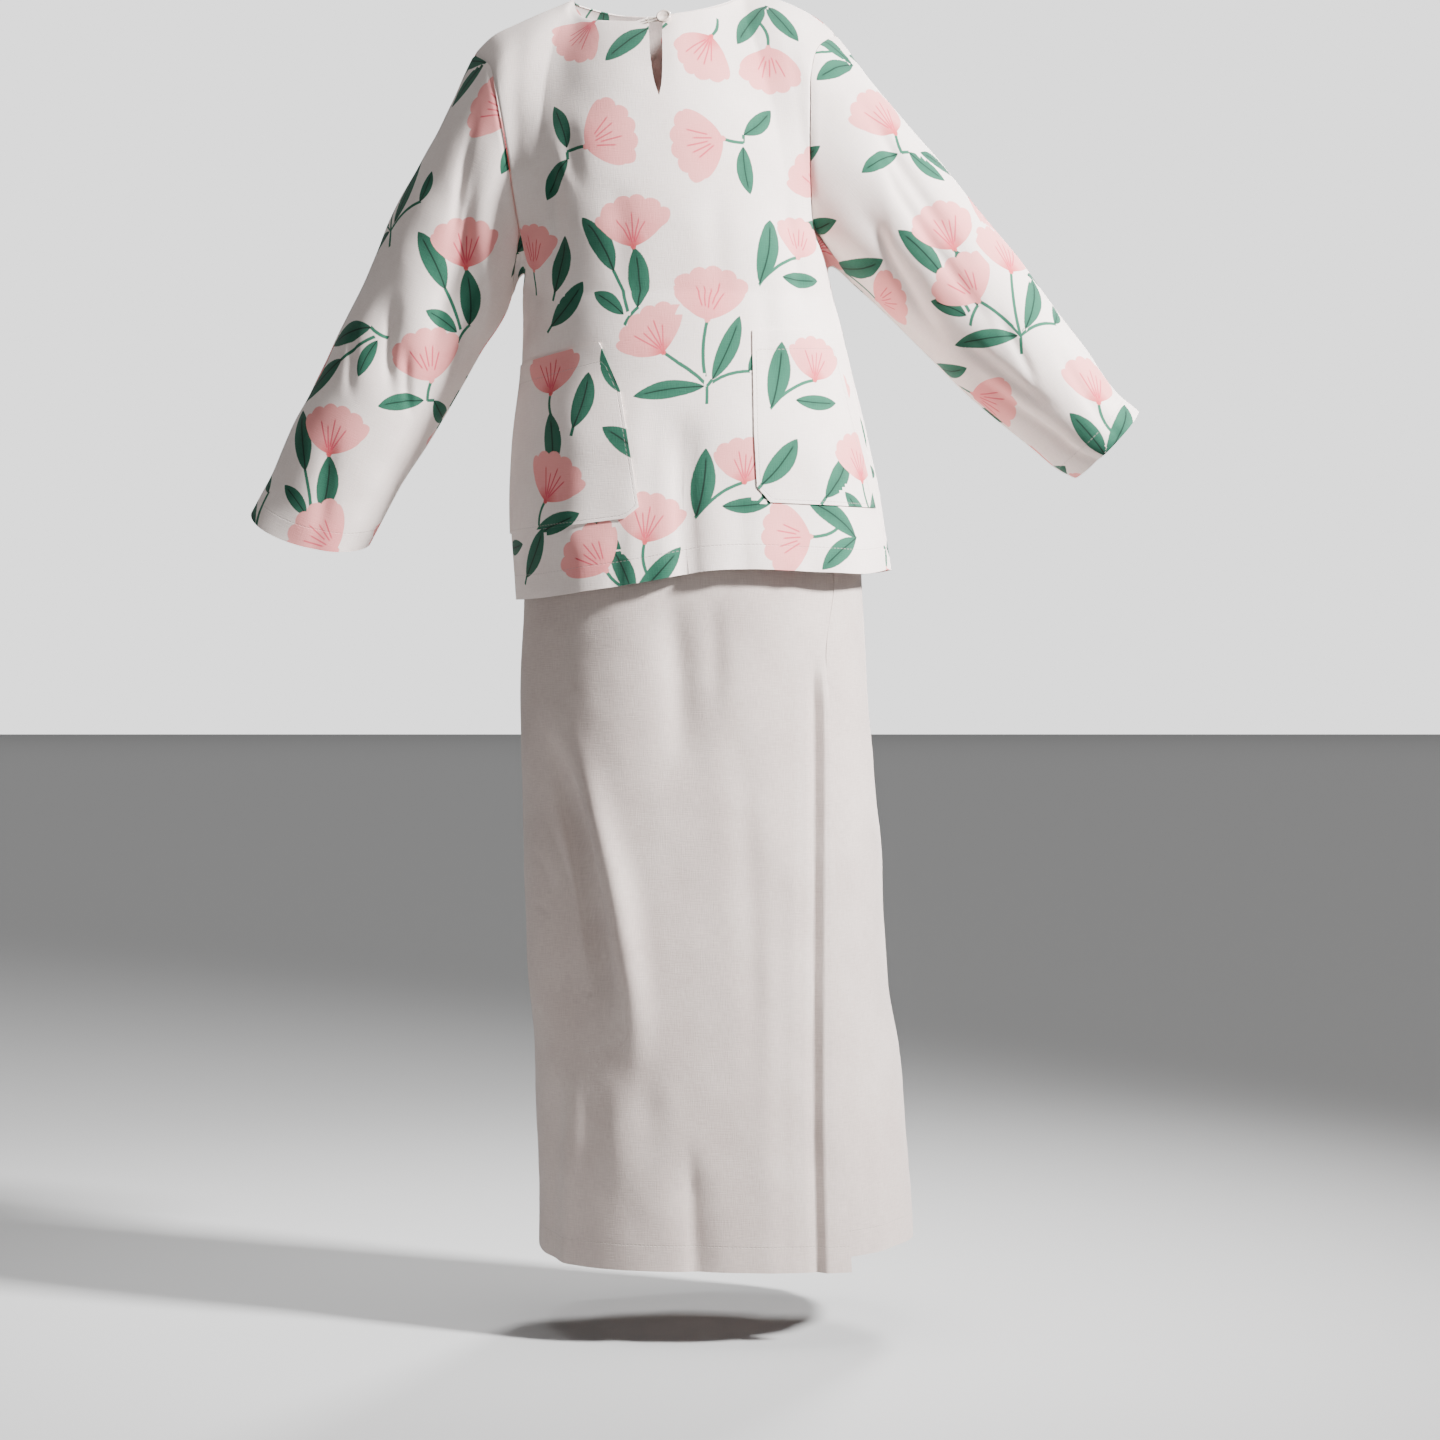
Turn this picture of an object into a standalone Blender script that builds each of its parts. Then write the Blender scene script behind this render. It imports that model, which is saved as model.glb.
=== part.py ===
"""A child's baju kurung set, worn but with no wearer: a long-sleeved top over a long skirt.

Every piece of cloth is a wall. A grid is laid on a surface that is worked out from tables of
sections and folds, the grids are sewn into one surface so that walls on both sides of a seam run
the same way, and the pieces are then cut apart and thickened.

Tables hold millimetres and degrees. +Z is up and the front faces -Y. The origin is the middle of
the neck opening at the shoulder line. Right and left are the wearer's, so right is at -X.
"""

import math
from collections import namedtuple

import bmesh
import bpy
import numpy as np
from mathutils import Vector

MM = 0.001
WALL = 1.6
SEAM_GAP = 0.3
WELD = 0.02

FRONT = -1
BACK = 1

# The top's body: half rings from the hem up to the foot of the underarm gusset
Section = namedtuple("Section", "height right left front back")
TOP_SECTIONS = (
    Section(-500, -113, 186, 121, 117),
    Section(-454, -117, 184, 118, 114),
    Section(-417, -119, 179, 114, 111),
    Section(-378, -118, 172, 111, 108),
    Section(-340, -115, 163, 108, 106),
    Section(-302, -110.5, 154, 104, 103),
    Section(-270, -110, 146.5, 101, 101),
    Section(-240, -109.5, 138.5, 99, 100),
)
TOP_ROUNDNESS = 2.3
Spread = namedtuple("Spread", "across place")
TOP_SPREAD = (Spread(-1, -1), Spread(-0.5, -0.64), Spread(0, 0), Spread(0.5, 0.64), Spread(1, 1))
TOP_TURN = 14
GUSSET_FOOT = -240

# How soon a panel's points leave the plain tube on the way up, at its sides and at its middle
LEAVE_POWER = 2.2
LEAVE_EDGE = 0.58
LEAVE_MIDDLE = (0.3, 0.7)
ARMHOLE_REACH = 4

# Height of the top's hem across a panel, from the right side seam (-1) to the left one (1)
TopHem = namedtuple("TopHem", "across front back")
TOP_HEM = (
    TopHem(-1, -480, -480),
    TopHem(-0.45, -477.5, -476),
    TopHem(-0.2, -471.5, -471),
    TopHem(0.03, -463.5, -466),
    TopHem(0.18, -456, -463),
    TopHem(0.54, -457.5, -459),
    TopHem(0.74, -459, -457),
    TopHem(1, -455.5, -455.5),
)

# Armhole edges, from the gusset's foot (0) past its corner to the shoulder tip (1)
Armhole = namedtuple("Armhole", "up x front back")
ARMHOLES = {
    -1: (
        Armhole(0, -109.5, 0, 0),
        Armhole(0.13, -106, -20, 22),
        Armhole(0.25, -109.5, -33, 35),
        Armhole(0.4, -114.5, -46, 48),
        Armhole(0.55, -118.5, -52, 55),
        Armhole(0.7, -124, -51, 56),
        Armhole(0.85, -130, -42, 47),
        Armhole(0.95, -136, -24, 27),
        Armhole(1, -148, 2, 2),
    ),
    1: (
        Armhole(0, 138.5, 0, 0),
        Armhole(0.13, 131, -20, 22),
        Armhole(0.25, 122, -34, 36),
        Armhole(0.4, 119.5, -46, 48),
        Armhole(0.55, 119, -52, 55),
        Armhole(0.7, 119.5, -51, 56),
        Armhole(0.85, 121, -42, 47),
        Armhole(0.95, 128, -24, 27),
        Armhole(1, 140, 2, 2),
    ),
}
GUSSET_CORNER = 0.25
GUSSET_TIPS = {-1: (-118, 2, -240), 1: (153, 0, -229)}
GUSSET_SAG = 4

# Shoulder seams, from the neck (0) to the tip (1)
Shoulder = namedtuple("Shoulder", "out x height")
SHOULDERS = {
    -1: (
        Shoulder(0, -68, -3),
        Shoulder(0.25, -90, -12),
        Shoulder(0.5, -112, -21.5),
        Shoulder(0.75, -132, -31),
        Shoulder(1, -148, -46),
    ),
    1: (
        Shoulder(0, 66, 3),
        Shoulder(0.25, 86, -1),
        Shoulder(0.5, 105, -7),
        Shoulder(0.75, 123, -16),
        Shoulder(1, 140, -30),
    ),
}
SHOULDER_Y = 2

# Height of the neck edge by the angle from the middle, negative towards the right shoulder
Neck = namedtuple("Neck", "angle front back")
NECK = (
    Neck(-90, -3, -3),
    Neck(-65, -19, -5),
    Neck(-35, -26, -8),
    Neck(-6, -27, -9),
    Neck(8, -22.5, -8),
    Neck(25, -19.5, -7),
    Neck(50, -13, -4),
    Neck(70, -5.5, -1),
    Neck(90, 3, 3),
)
NECK_SHARE = 0.5
NECK_HALF_WIDTH = 67
NECK_MIDDLE = -1
NECK_DEPTH = {FRONT: 62, BACK: 52}

# Edges of the neck slit right and left of its line, from its tip (0) to the neck edge (1)
Slit = namedtuple("Slit", "up right left")
SLIT = (
    Slit(0, 0, 0),
    Slit(0.25, 3.6, 1.2),
    Slit(0.5, 6.2, 1.8),
    Slit(1, 8, 2.2),
)
SLIT_ROWS = 4
SLIT_X = 0.8

# Sleeve rings after the armhole: their points on top and underneath, as seen from the front
Ring = namedtuple("Ring", "place top_x top_z under_x under_z middle_y depth lean")
SLEEVES = {
    -1: (
        Ring(1, -168, -90, -122, -250, 2, 53, 0),
        Ring(2, -188, -127, -130, -264, 3, 51, 0),
        Ring(3, -213, -173, -142, -281, 4, 49, 2),
        Ring(4, -237, -229, -158, -309, 6, 46, 4),
        Ring(5, -256, -266, -174, -336, 8, 44, 6),
        Ring(6, -276, -307, -188, -359, 10, 41, 8),
        Ring(7, -295, -342, -206, -386, 12, 37, 11),
        Ring(8, -313, -382, -219, -410, 14, 32, 14),
        Ring(9, -328, -410, -232, -434, 16, 28, 16),
    ),
    1: (
        Ring(1, 166, -65, 167, -240, 1, 53, 0),
        Ring(2, 194, -98, 182, -254, 0, 52, 0),
        Ring(3, 226, -135, 198, -270, -1, 50, 0),
        Ring(4, 260, -178, 220, -292, -3, 48, 1),
        Ring(5, 289, -212, 245, -317, -5, 46, 1),
        Ring(6, 316, -251, 272, -340, -7, 44, 2),
        Ring(7, 340, -282, 296, -359, -9, 42, 2),
        Ring(8, 362, -313, 315, -375, -10, 40, 3),
        Ring(9, 380, -330, 330, -383, -11, 38, 3),
    ),
}

# Pocket corners as seen from the front, from the top inner corner round to the top outer one
Corner = namedtuple("Corner", "x z")
POCKETS = {
    "pocket_right": (
        Corner(-45.8, -279.5),
        Corner(-29.5, -316.5),
        Corner(-14.7, -407),
        Corner(-26, -416),
        Corner(-125, -428),
        Corner(-125, -297),
    ),
    "pocket_left": (
        Corner(73, -270.5),
        Corner(74.4, -350),
        Corner(76.6, -391.5),
        Corner(87, -403.5),
        Corner(171, -407),
        Corner(136, -268),
    ),
}
POCKET_BACK_LIMIT = -8

# The skirt, from the waist down to its hem
SKIRT_SECTIONS = (
    Section(-1010, -97.6, 204, 125, 129),
    Section(-960, -97.6, 202, 124, 127),
    Section(-900, -99, 197.5, 122, 124),
    Section(-835, -101, 192, 119, 121),
    Section(-790, -105.6, 185.6, 117, 119),
    Section(-730, -109, 181, 114, 116),
    Section(-680, -111, 177.6, 112, 113),
    Section(-610, -112, 170, 109, 110),
    Section(-545, -111.5, 165.5, 107, 107),
    Section(-480, -108.2, 161.7, 105.7, 105.7),
    Section(-417, -108.7, 157.7, 101.7, 101.7),
    Section(-360, -106.2, 151.7, 96.7, 96.7),
    Section(-310, -100, 138, 90, 89),
    Section(-264, -92, 116, 84, 82),
)
SKIRT_ROUNDNESS = 2.5
SKIRT_TURN = 6
SKIRT_WAIST = -264
SKIRT_LEVEL = -520

# Height of the skirt's hem across the front (side seam to pleat) and back (pleat to side seam)
SkirtHem = namedtuple("SkirtHem", "across front back")
SKIRT_HEM = (
    SkirtHem(0, -990, -990.5),
    SkirtHem(0.15, -997, -988),
    SkirtHem(0.35, -999, -988),
    SkirtHem(0.6, -999, -989),
    SkirtHem(1, -1001.5, -989),
)

# The pleat: where the front's edge runs, and the width of the folded strip beside it
Pleat = namedtuple("Pleat", "height edge_x strip")
PLEAT = (
    Pleat(-1002, 149.5, 20),
    Pleat(-882, 142.5, 15.5),
    Pleat(-570, 132.8, 5.5),
    Pleat(-520, 130.5, 4),
    Pleat(-462, 137, 4),
    Pleat(-264, 98, 4),
)
PLEAT_FULL = -560
UNDERLAP_TOP = -565
UNDERLAP_FULL = -640
UNDERLAP_SHORT = 4

# Profile across the pleat: place in its columns, distance past the strip, share of it, height
PleatFold = namedtuple("PleatFold", "place beyond strip_share rise")
PLEAT_PROFILE = (
    PleatFold(0, 22, 1, 0),
    PleatFold(0.2, 13, 1, -1.2),
    PleatFold(0.4, 6, 1, -4),
    PleatFold(0.6, 0, 1, 2.4),
    PleatFold(0.8, 0, 0.5, 2.7),
    PleatFold(1, 0, 0, 2.4),
)
PLEAT_START = 0.8
DEGREES = 2

# Soft folds from (x1, z1) to (x2, z2), bowed sideways, dying out above and keeping a share below
FOLD_GROWN = 0.35
FOLD_FADING = 0.6
SEAM_FADE = 0.2
SHOULDER_FADE = 2.3
BODY_TOP = 3
NORMAL_STEP = 0.002
Fold = namedtuple("Fold", "x1 z1 x2 z2 bow width depth kept")
TOP_FRONT_FOLDS = (
    Fold(-84, -140, -76, -225, 0, 9, -3, 0),
    Fold(12, -310, 26, -500, 2, 15, -5, 1),
    Fold(-106, -212, -100, -285, 0, 15, -5, 0),
    Fold(96, -150, 118, -290, 4, 16, -3, 0),
    Fold(-60, -300, -66, -500, -3, 20, 3, 1),
    Fold(120, -330, 150, -500, 3, 18, 3.5, 1),
)
TOP_BACK_FOLDS = (
    Fold(-80, -110, -74, -260, 4, 12, -4, 0),
    Fold(88, -120, 96, -280, -4, 13, -4, 0),
    Fold(-30, -280, -46, -500, 3, 18, -5, 1),
    Fold(60, -260, 92, -500, 4, 20, -6, 1),
    Fold(4, -200, 22, -500, 2, 22, 4, 1),
)
SKIRT_FRONT_FOLDS = (
    Fold(-98, -560, -42, -822, 10, 11, -7, 0),
    Fold(-80, -600, -26, -815, 11, 13, 3.5, 0),
    Fold(10, -455, 22, -640, 3, 22, -4, 0.1),
    Fold(-48, -850, -46, -960, 0, 10, -2.5, 0),
    Fold(22, -900, 34, -1020, 0, 14, -4, 1),
    Fold(-84, -840, -88, -1010, 0, 10, -3, 0.6),
    Fold(84, -700, 96, -1010, 3, 18, 3, 1),
)
SKIRT_BACK_FOLDS = (
    Fold(-52, -520, -30, -1010, 8, 17, -6, 1),
    Fold(28, -430, 46, -1010, 4, 24, 5, 1),
    Fold(92, -560, 118, -1010, 5, 18, -7, 1),
    Fold(-84, -640, -74, -1010, 0, 13, 4, 1),
    Fold(176, -640, 190, -1010, 0, 10, -3, 1),
)

FRONT_FADE = 0.1
BACK_FADE = 0.14

# Folds along a sleeve: ring places from and to, angles round it from the top towards the front
SleeveFold = namedtuple("SleeveFold", "angle1 place1 angle2 place2 bow width depth kept")
SLEEVE_FOLDS = {
    -1: (
        SleeveFold(62, 0, 116, 4.2, 8, 22, -5, 0),
        SleeveFold(112, 0.3, 150, 3.4, 4, 18, 4, 0),
        SleeveFold(60, 3.2, 112, 5.6, -6, 18, -3.5, 0),
        SleeveFold(262, 0, 230, 4.5, 5, 24, -5, 0),
    ),
    1: (
        SleeveFold(48, 0.2, 84, 4.6, 6, 20, -4, 0),
        SleeveFold(104, 0, 138, 4.4, 4, 20, -4.5, 0),
        SleeveFold(150, 4.2, 128, 9, 5, 22, -6, 0.5),
        SleeveFold(268, 0, 226, 5.5, 6, 24, -5, 0),
    ),
}

# How many faces each grid has
BODY_COLUMNS = 24
SIDE_ROWS = 12
GUSSET_ROWS = 3
ARMHOLE_ROWS = 7
SLEEVE_LENGTH_ROWS = 14
SKIRT_FRONT_COLUMNS = 25
SKIRT_BACK_COLUMNS = 20
SKIRT_LOW_ROWS = 15
SKIRT_HIGH_ROWS = 7

# The button's middle on the front panel, and the profile it is turned from
BUTTON_X = 4.9
BUTTON_Z = -26.6
BUTTON_STEPS = 24
ButtonProfile = namedtuple("ButtonProfile", "radius height")
BUTTON_PROFILE = (
    ButtonProfile(0, 0),
    ButtonProfile(1.5, 0),
    ButtonProfile(1.5, 2.1),
    ButtonProfile(5, 2.3),
    ButtonProfile(6, 3.1),
    ButtonProfile(5.6, 4.3),
    ButtonProfile(4.5, 4.7),
    ButtonProfile(3.2, 4.2),
    ButtonProfile(0, 4),
)

# The thread loop: its ends on the right side of the slit, and its bend round the shank
LOOP_THREAD = 0.5
LOOP_END_X = -10
LOOP_END_Z = -29
LOOP_END_APART = 1.2
LOOP_RADIUS = 2.4
LOOP_LIFT = 1.4
LOOP_BEND = range(120, -121, -40)

CREAM_TOP = (0.86, 0.80, 0.78, 1)
PLAIN_SKIRT = (0.66, 0.60, 0.58, 1)
PEARL = (0.88, 0.80, 0.74, 1)
THREAD = (0.78, 0.74, 0.68, 1)
CLOTH_ROUGHNESS = 0.85
PEARL_ROUGHNESS = 0.3


def along(table, column, at):
    """Values of a table's column on a smooth curve through its rows, by the first column."""
    rows = sorted(table)
    where = np.array([row[0] for row in rows], float)
    values = np.array([getattr(row, column) for row in rows], float)
    return through(where, values, at)


def through(where, values, at):
    """A smooth curve through the values. They may hold one column for each point of at."""
    at = np.clip(np.asarray(at, float), where[0], where[-1])
    steps = np.diff(where).reshape((-1,) + (1,) * (values.ndim - 1))
    rise = np.diff(values, axis=0) / steps
    slopes = np.concatenate([rise[:1], (rise[1:] + rise[:-1]) / 2, rise[-1:]])
    low = np.clip(np.searchsorted(where, at, side="right") - 1, 0, len(where) - 2)
    step = where[low + 1] - where[low]
    t = (at - where[low]) / step

    def picked(array, index):
        if array.ndim == 1:
            return array[index]
        return array[index, np.arange(len(index))]

    if values.ndim > 1:
        step = step[:, None]
        t = t[:, None]
    start = picked(values, low)
    end = picked(values, low + 1)
    leave = picked(slopes, low) * step
    arrive = picked(slopes, low + 1) * step
    return (
        start * (1 + 2 * t) * (1 - t) ** 2
        + leave * t * (1 - t) ** 2
        + end * t**2 * (3 - 2 * t)
        - arrive * t**2 * (1 - t)
    )


def eased(value, start=0.0, end=1.0):
    """0 before start and 1 after end, with a soft step between."""
    t = np.clip((np.asarray(value, float) - start) / (end - start), 0, 1)
    return t * t * (3 - 2 * t)


def points(x, y, z):
    """One array of points, one in each row."""
    return np.stack(np.broadcast_arrays(x, y, z), axis=-1).astype(float)


def ring(sections, roundness, height, angle):
    """Points of the body's outline at a height. The angle runs from the front to the left."""
    right = along(sections, "right", height)
    left = along(sections, "left", height)
    sine = np.sin(np.radians(angle))
    cosine = np.cos(np.radians(angle))
    power = 2 / roundness
    depth = np.where(cosine < 0, along(sections, "back", height), along(sections, "front", height))
    x = (left + right) / 2 + (left - right) / 2 * np.sign(sine) * np.abs(sine) ** power
    return points(x, -np.sign(cosine) * np.abs(cosine) ** power * depth, height)


def fold_relief(folds, across, height):
    """How far the folds move a surface out, where across and height say the place on it."""
    relief = np.zeros(np.shape(across))
    for fold in folds:
        x1, z1, x2, z2, bow, width, depth, kept = fold
        t = (height - z1) / (z2 - z1)
        inside = np.clip(t, 0, 1)
        middle = x1 + (x2 - x1) * inside + bow * 4 * inside * (1 - inside)
        strength = eased(t, 0, FOLD_GROWN) * (1 - (1 - kept) * eased(t, FOLD_FADING, 1))
        relief += depth * strength * np.exp(-(((across - middle) / width) ** 2))
    return relief


def outward(surface, across, up):
    """Unit normals of a surface, by differences, facing out of the front."""
    step = NORMAL_STEP / 2
    sideways = surface(across + step, up) - surface(across - step, up)
    upwards = surface(across, up + step) - surface(across, up - step)
    normal = np.cross(sideways, upwards)
    return normal / np.linalg.norm(normal, axis=-1, keepdims=True)


def armhole_height(side, share):
    """Height of an armhole's edge at a share of the way up from the gusset's foot."""
    tip = SHOULDERS[side][-1].height
    return GUSSET_FOOT + (tip - GUSSET_FOOT) * share


def armhole_edge(side, face, share):
    """Points of the armhole's edge on the front or the back."""
    x = along(ARMHOLES[side], "x", share)
    y = along(ARMHOLES[side], "front" if face == FRONT else "back", share)
    return points(x, y, armhole_height(side, share))


def armhole_share(up):
    """Turns a body row (1 at the gusset's foot, 2 at its corner, 3 at the top) into a share."""
    straight = GUSSET_CORNER * (up - 1)
    curved = GUSSET_CORNER + (1 - GUSSET_CORNER) * np.sin(np.radians(90 * (up - 2)))
    return np.clip(np.where(up < 2, straight, curved), 0, 1)


def neck_and_shoulders(face, across):
    """The top edge of a body panel: shoulder seam, neck edge and shoulder seam."""
    out = np.clip((np.abs(across) - NECK_SHARE) / (1 - NECK_SHARE), 0, 1)
    seam_x = np.where(across < 0, along(SHOULDERS[-1], "x", out), along(SHOULDERS[1], "x", out))
    seam_z = np.where(
        across < 0, along(SHOULDERS[-1], "height", out), along(SHOULDERS[1], "height", out)
    )
    angle = np.clip(90 * across / NECK_SHARE, -90, 90)
    neck_x = NECK_MIDDLE + NECK_HALF_WIDTH * np.sin(np.radians(angle))
    neck_y = SHOULDER_Y + face * NECK_DEPTH[face] * np.cos(np.radians(angle))
    neck_z = along(NECK, "front" if face == FRONT else "back", angle)
    seam = points(seam_x, SHOULDER_Y, seam_z)
    return np.where(np.abs(across)[:, None] < NECK_SHARE, points(neck_x, neck_y, neck_z), seam)


def plain_body(face, across, up):
    """The top's front or back with no folds. Across runs from -1 (right) to 1 (left)."""
    place = along(TOP_SPREAD, "place", across)
    hem = along(TOP_HEM, "front" if face == FRONT else "back", place)
    below = np.clip(up, 0, 1)
    height = hem + (GUSSET_FOOT - hem) * below
    turn = TOP_TURN * (1 - below**3)
    angle = 90 * place - turn if face == FRONT else 180 - 90 * place - turn
    low = ring(TOP_SECTIONS, TOP_ROUNDNESS, height, angle)
    top = neck_and_shoulders(face, across)
    share = armhole_share(up)
    root = 1 - (1 - LEAVE_EDGE) * eased(np.abs(across), *LEAVE_MIDDLE)
    kept = (1 - share**LEAVE_POWER) ** root
    blend = np.stack([1 - kept, 1 - kept, share], axis=-1)
    body = low + (top - low) * blend
    edge_kept = (1 - share**LEAVE_POWER) ** LEAVE_EDGE
    plain_x = {}
    edge_x = {}
    for side in (-1, 1):
        foot = ARMHOLES[side][0].x
        tip = ARMHOLES[side][-1].x
        plain_x[side] = tip + (foot - tip) * edge_kept
        edge = armhole_edge(side, face, share)
        edge_x[side] = edge[:, 0]
        weight = ((1 + side * across) / 2) ** ARMHOLE_REACH
        body[:, 1] += weight * (edge[:, 1] - SHOULDER_Y * (1 - edge_kept))
    over = (body[:, 0] - plain_x[-1]) / (plain_x[1] - plain_x[-1])
    body[:, 0] = edge_x[-1] + (edge_x[1] - edge_x[-1]) * over
    return body


def body_panel(face, across, up):
    """The top's front or back with its folds, which die out at the seams."""

    def plain(sideways, upwards):
        return plain_body(face, sideways, upwards)

    body = plain(across, up)
    folds = TOP_FRONT_FOLDS if face == FRONT else TOP_BACK_FOLDS
    relief = fold_relief(folds, body[:, 0], body[:, 2])
    relief *= eased(1 - np.abs(across), 0, SEAM_FADE) * (1 - eased(up, SHOULDER_FADE, BODY_TOP))
    inside = np.clip(up, NORMAL_STEP, BODY_TOP - NORMAL_STEP)
    normal = outward(plain, across * (1 - NORMAL_STEP), inside)
    return body - face * normal * relief[:, None]


def body_grid(face):
    """The panel's surface over a unit square, with rows that meet the sleeve's and gusset's."""
    rows = SIDE_ROWS + GUSSET_ROWS + ARMHOLE_ROWS
    marks = (0, SIDE_ROWS, SIDE_ROWS + GUSSET_ROWS, rows)

    def surface(across, up):
        return body_panel(face, 2 * across - 1, np.interp(up * rows, marks, (0, 1, 2, 3)))

    return surface, BODY_COLUMNS, rows


def gusset_edge(side, face, share):
    """The straight edge from the gusset's corner on the armhole to its tip under the sleeve."""
    corner = armhole_edge(side, face, np.full(np.shape(share), GUSSET_CORNER))
    return corner + (np.array(GUSSET_TIPS[side], float) - corner) * share[:, None]


def gusset_grid(side):
    """The underarm gusset, between its foot, its corners front and back, and its tip."""

    def surface(across, up):
        near = armhole_edge(side, FRONT, GUSSET_CORNER * across)
        far = gusset_edge(side, BACK, across)
        first = armhole_edge(side, BACK, GUSSET_CORNER * up)
        last = gusset_edge(side, FRONT, up)
        zero = np.zeros(len(across))
        one = zero + 1
        foot = armhole_edge(side, FRONT, zero)
        front = gusset_edge(side, FRONT, zero)
        back = gusset_edge(side, BACK, zero)
        tip = gusset_edge(side, FRONT, one)
        a = across[:, None]
        b = up[:, None]
        patch = near * (1 - b) + far * b + first * (1 - a) + last * a
        patch -= (foot * (1 - b) + back * b) * (1 - a) + (front * (1 - b) + tip * b) * a
        patch[:, 2] -= GUSSET_SAG * np.sin(np.pi * across) * np.sin(np.pi * up)
        return patch

    return surface, GUSSET_ROWS, GUSSET_ROWS


def sleeve_start(side, around):
    """The sleeve's first ring: down the armhole's front, round the gusset and up its back."""
    columns = 2 * (ARMHOLE_ROWS + GUSSET_ROWS)
    half = np.minimum(around, 1 - around) * columns
    share = armhole_share(3 - np.clip(half / ARMHOLE_ROWS, 0, 1))
    under = np.clip((half - ARMHOLE_ROWS) / GUSSET_ROWS, 0, 1)
    edges = []
    for face in (FRONT, BACK):
        armhole = armhole_edge(side, face, share)
        gusset = gusset_edge(side, face, under)
        edges.append(np.where(under[:, None] > 0, gusset, armhole))
    return np.where(around[:, None] <= 0.5, edges[0], edges[1])


def sleeve_ring(row, side, around):
    """One ring of the sleeve. It turns from the top (0) by the front to the underside (0.5)."""
    turn = 2 * np.pi * around
    half = np.array([row.top_x - row.under_x, 0, row.top_z - row.under_z]) / 2
    middle = np.array([(row.top_x + row.under_x) / 2, row.middle_y, (row.top_z + row.under_z) / 2])
    down_sleeve = np.array([side * -half[2], 0, side * half[0]]) / np.linalg.norm(half)
    down_sleeve *= -1 if down_sleeve[2] > 0 else 1
    front = np.array([0, -row.depth, 0]) + down_sleeve * row.lean
    return middle + np.cos(turn)[:, None] * half + np.sin(turn)[:, None] * front


def sleeve_middle(side, place):
    """Points on the line through the middles of a sleeve's rings."""
    rows = SLEEVES[side]
    middles = [sleeve_start(side, np.linspace(0, 1, 21)[:-1]).mean(axis=0)]
    middles += [sleeve_ring(row, side, np.array([0, 0.5])).mean(axis=0) for row in rows]
    columns = [through(np.arange(len(middles)), np.array(column), place) for column in zip(*middles)]
    return np.stack(columns, axis=-1)


def sleeve_grid(side):
    """A sleeve from its armhole to its cuff."""
    last = SLEEVES[side][-1].place

    def surface(around, length):
        around = np.where(around < 0, around + 1, np.where(around > 1, around - 1, around))
        rings = [sleeve_start(side, around)]
        rings += [sleeve_ring(row, side, around) for row in SLEEVES[side]]
        place = length * last
        sleeve = through(np.arange(last + 1.0), np.array(rings), place)
        middle = sleeve_middle(side, place)
        angle = 360 * around
        relief = fold_relief(SLEEVE_FOLDS[side], angle, place) * eased(place, 0, 1)
        away = sleeve - middle
        return sleeve + away / np.linalg.norm(away, axis=-1, keepdims=True) * relief[:, None]

    return surface, 2 * (ARMHOLE_ROWS + GUSSET_ROWS), SLEEVE_LENGTH_ROWS


def pleat_angle(height):
    """The angle of the front's edge at the pleat, and how many millimetres a degree measures."""
    right = along(SKIRT_SECTIONS, "right", height)
    left = along(SKIRT_SECTIONS, "left", height)
    share = (along(PLEAT, "edge_x", height) - (left + right) / 2) / ((left - right) / 2)
    angle = np.degrees(np.arcsin(share ** (SKIRT_ROUNDNESS / 2)))
    edge = ring(SKIRT_SECTIONS, SKIRT_ROUNDNESS, height, angle)
    before = ring(SKIRT_SECTIONS, SKIRT_ROUNDNESS, height, angle - DEGREES)
    return angle, np.linalg.norm(edge - before, axis=-1) / DEGREES


def skirt_surface(height, angle, relief):
    """Points on the skirt, moved out by the relief."""
    base = ring(SKIRT_SECTIONS, SKIRT_ROUNDNESS, height, angle)
    before = ring(SKIRT_SECTIONS, SKIRT_ROUNDNESS, height, angle - DEGREES / 4)
    after = ring(SKIRT_SECTIONS, SKIRT_ROUNDNESS, height, angle + DEGREES / 4)
    normal = np.cross(after - before, np.array([0, 0, 1.0]))
    normal /= np.linalg.norm(normal, axis=-1, keepdims=True)
    return base + normal * relief(base)[:, None]


def skirt_height(hem, up):
    """Height of a point on the skirt. Its upper rows are level, so that they meet at the pleat."""
    rows = up * (SKIRT_LOW_ROWS + SKIRT_HIGH_ROWS)
    low = hem + (SKIRT_LEVEL - hem) * rows / SKIRT_LOW_ROWS
    high = SKIRT_LEVEL + (SKIRT_WAIST - SKIRT_LEVEL) * (rows - SKIRT_LOW_ROWS) / SKIRT_HIGH_ROWS
    return np.where(rows < SKIRT_LOW_ROWS, low, high)


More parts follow.
